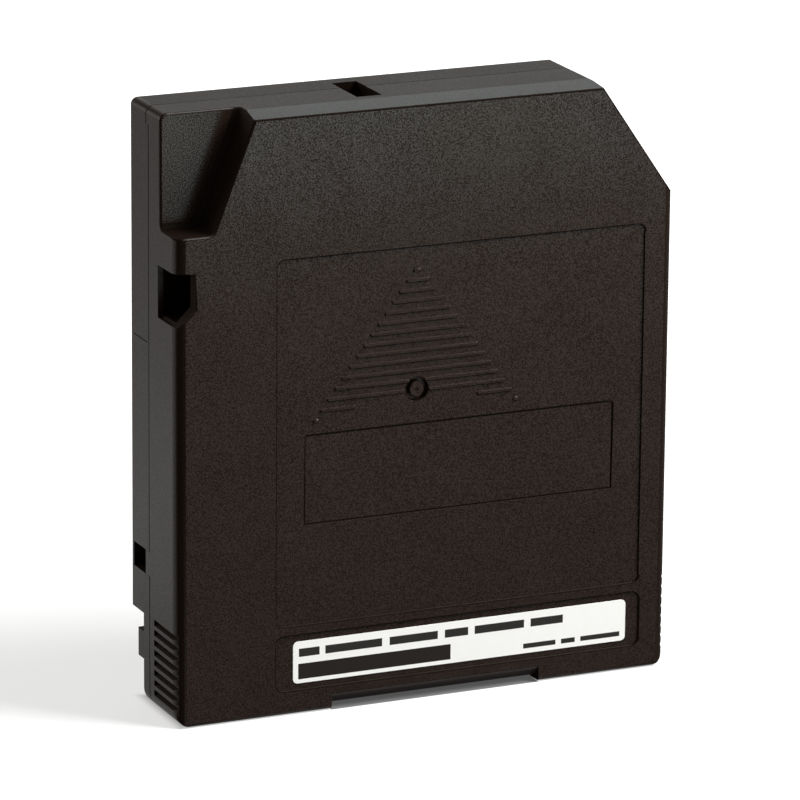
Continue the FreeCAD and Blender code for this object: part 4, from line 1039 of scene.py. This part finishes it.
def floor_finish(wanted):
    """Return the pale floor: it takes the cartridge's shadow and shows white where it is lit, with a painted
    shadow under the cartridge and its scoop and a painted darker reflection far behind.
    """
    material = bpy.data.materials.new("pale_floor")
    graph = open_tree(material)
    seen = seen_rays(graph)
    place = graph.add("ShaderNodeTexCoord").outputs["Object"]
    parts = graph.axes(place)
    # Painted shadow: the floor under the scoop is darker in colour.
    scoop_shadow = graph.group("Field", Across=parts["X"], Up=parts["Y"], Left=SCOOP[0].x, Right=SCOOP[1].x,
                        Low=CAD_LOW.y, High=SCOOP[1].y, Edge=STRIP_EDGE)["Mask"]
    pale = graph.blend(scoop_shadow, wanted.floor, wanted.under_floor)
    matte = graph.add("ShaderNodeBsdfDiffuse", None, Color=graph.blend(seen, wanted.bounce, pale))
    away = graph.add("ShaderNodeVectorMath", {"operation": "LENGTH"}, _0=place).outputs["Value"]
    spread = graph.between(graph.step(away, *GLOW_REACH), wanted.near_glow, wanted.far_glow)
    # Painted shadow: the glow fades under the cartridge's footprint and under the scoop.
    under = graph.math("MINIMUM", graph.math("SUBTRACT", CAD_HIGH.x, graph.math("ABSOLUTE", parts["X"])),
                       graph.math("SUBTRACT", CAD_HIGH.y, graph.math("ABSOLUTE", parts["Y"])))
    contact_shadow = graph.highest(scoop_shadow, graph.step(under, *CONTACT_REACH))
    open_floor = graph.between(contact_shadow, 1.0, wanted.under_glow)
    # Painted reflection: mirrors see the floor far behind the cartridge with less glow.
    mirrored = graph.add("ShaderNodeLightPath").outputs["Is Glossy Ray"]
    behind = graph.math("MULTIPLY", mirrored, graph.step(parts["Y"], *REAR_REACH))
    spread = graph.math("MULTIPLY", spread, graph.between(behind, 1.0, wanted.rear_glow))
    strength = graph.math("MULTIPLY", graph.math("MULTIPLY", seen, open_floor), spread)
    glow = graph.add("ShaderNodeEmission", None, Color=WHITE, Strength=strength)
    lit = graph.add("ShaderNodeAddShader", None, _0=matte.outputs[0], _1=glow.outputs[0])
    graph.add("ShaderNodeOutputMaterial", None, Surface=lit.outputs[0])
    return material


def soft_room(wanted):
    """Return the even light of the room, which is white where it is seen."""
    world = bpy.data.worlds.new("soft_room")
    graph = open_tree(world)
    strength = graph.between(seen_rays(graph), wanted.ambient, 1.0)
    sky = graph.add("ShaderNodeBackground", None, Color=WHITE, Strength=strength)
    graph.add("ShaderNodeOutputWorld", None, Surface=sky.outputs[0])
    return world


def aimed_camera(wanted):
    """Return the camera, turned about its target and rolled about its own axis."""
    data = bpy.data.cameras.new("camera")
    data.lens = wanted.lens
    data.sensor_width = SENSOR_MM
    data.clip_start, data.clip_end = CLIP_NEAR, CLIP_FAR
    camera = bpy.data.objects.new("camera", data)
    bpy.context.scene.collection.objects.link(camera)
    flat = math.cos(wanted.elevation)
    back = Vector((math.sin(wanted.azimuth) * flat, -math.cos(wanted.azimuth) * flat,
                   math.sin(wanted.elevation)))
    place = Vector(wanted.target) + back * wanted.distance
    turn = (-back).to_track_quat("-Z", "Y").to_matrix().to_4x4()
    camera.matrix_world = Matrix.Translation(place) @ turn @ Matrix.Rotation(wanted.roll, 4, "Z")
    return camera


class CARTRIDGE_OT_stage(bpy.types.Operator):
    """Set the floor, the lamps, the even light and the camera"""

    bl_idname = "cartridge.stage"
    bl_label = "Stage"

    def execute(self, context):
        wanted = settings("stage")
        clear_selection()
        bpy.ops.mesh.primitive_plane_add(size=FLOOR_SIZE, location=(0.0, 0.0, FLOOR_Z))
        floor = context.object
        floor.name = "floor"
        floor.data.materials.append(floor_finish(wanted))
        lamp("key_lamp", wanted.key, WHITE, KEY_SIZE, KEY_PLACE, LAMP_TARGET)
        lamp("rear_lamp", wanted.rear, wanted.cool, REAR_SIZE, REAR_PLACE, LAMP_TARGET)
        lamp("card_lamp", wanted.card, wanted.cool, CARD_SIZE, CARD_PLACE, CARD_TARGET)
        lamp("fill_lamp", wanted.fill, wanted.warm, FILL_SIZE, FILL_PLACE, LAMP_TARGET)
        context.scene.world = soft_room(wanted)
        context.scene.camera = aimed_camera(wanted)
        context.scene.view_settings.view_transform = "Standard"
        return {"FINISHED"}


STEPS = (CARTRIDGE_OT_case, CARTRIDGE_OT_label, CARTRIDGE_OT_reel, CARTRIDGE_OT_leader,
         CARTRIDGE_OT_small_parts, CARTRIDGE_OT_screws, CARTRIDGE_OT_springs, CARTRIDGE_OT_stage)
GROUPS = {"shell": ShellSettings, "label": LabelSettings, "inside": InsideSettings, "stage": StageSettings}


class CARTRIDGE_PT_sidebar(bpy.types.Panel):
    """Lists the cartridge's steps and settings"""

    bl_idname = "CARTRIDGE_PT_sidebar"
    bl_label = "Cartridge"
    bl_space_type = "VIEW_3D"
    bl_region_type = "UI"
    bl_category = "Cartridge"

    def draw(self, context):
        for step in STEPS:
            self.layout.operator(step.bl_idname)
        for name, group in GROUPS.items():
            column = self.layout.column(heading=name.capitalize())
            for field in group.__annotations__:
                column.prop(settings(name), field)


CLASSES = (*GROUPS.values(), *STEPS, CARTRIDGE_PT_sidebar)


def register():
    """Register the classes and hang their settings on the scene."""
    for item in CLASSES:
        bpy.utils.register_class(item)
    for name, group in GROUPS.items():
        setattr(bpy.types.Scene, "cartridge_" + name, PointerProperty(type=group))


def unregister():
    """Take the settings and the classes away again."""
    for name in GROUPS:
        delattr(bpy.types.Scene, "cartridge_" + name)
    for item in reversed(CLASSES):
        bpy.utils.unregister_class(item)


def main():
    """Build the looks step by step."""
    register()
    for step in STEPS:
        area, call = step.bl_idname.split(".")
        getattr(getattr(bpy.ops, area), call)()


if __name__ == "__main__":
    main()
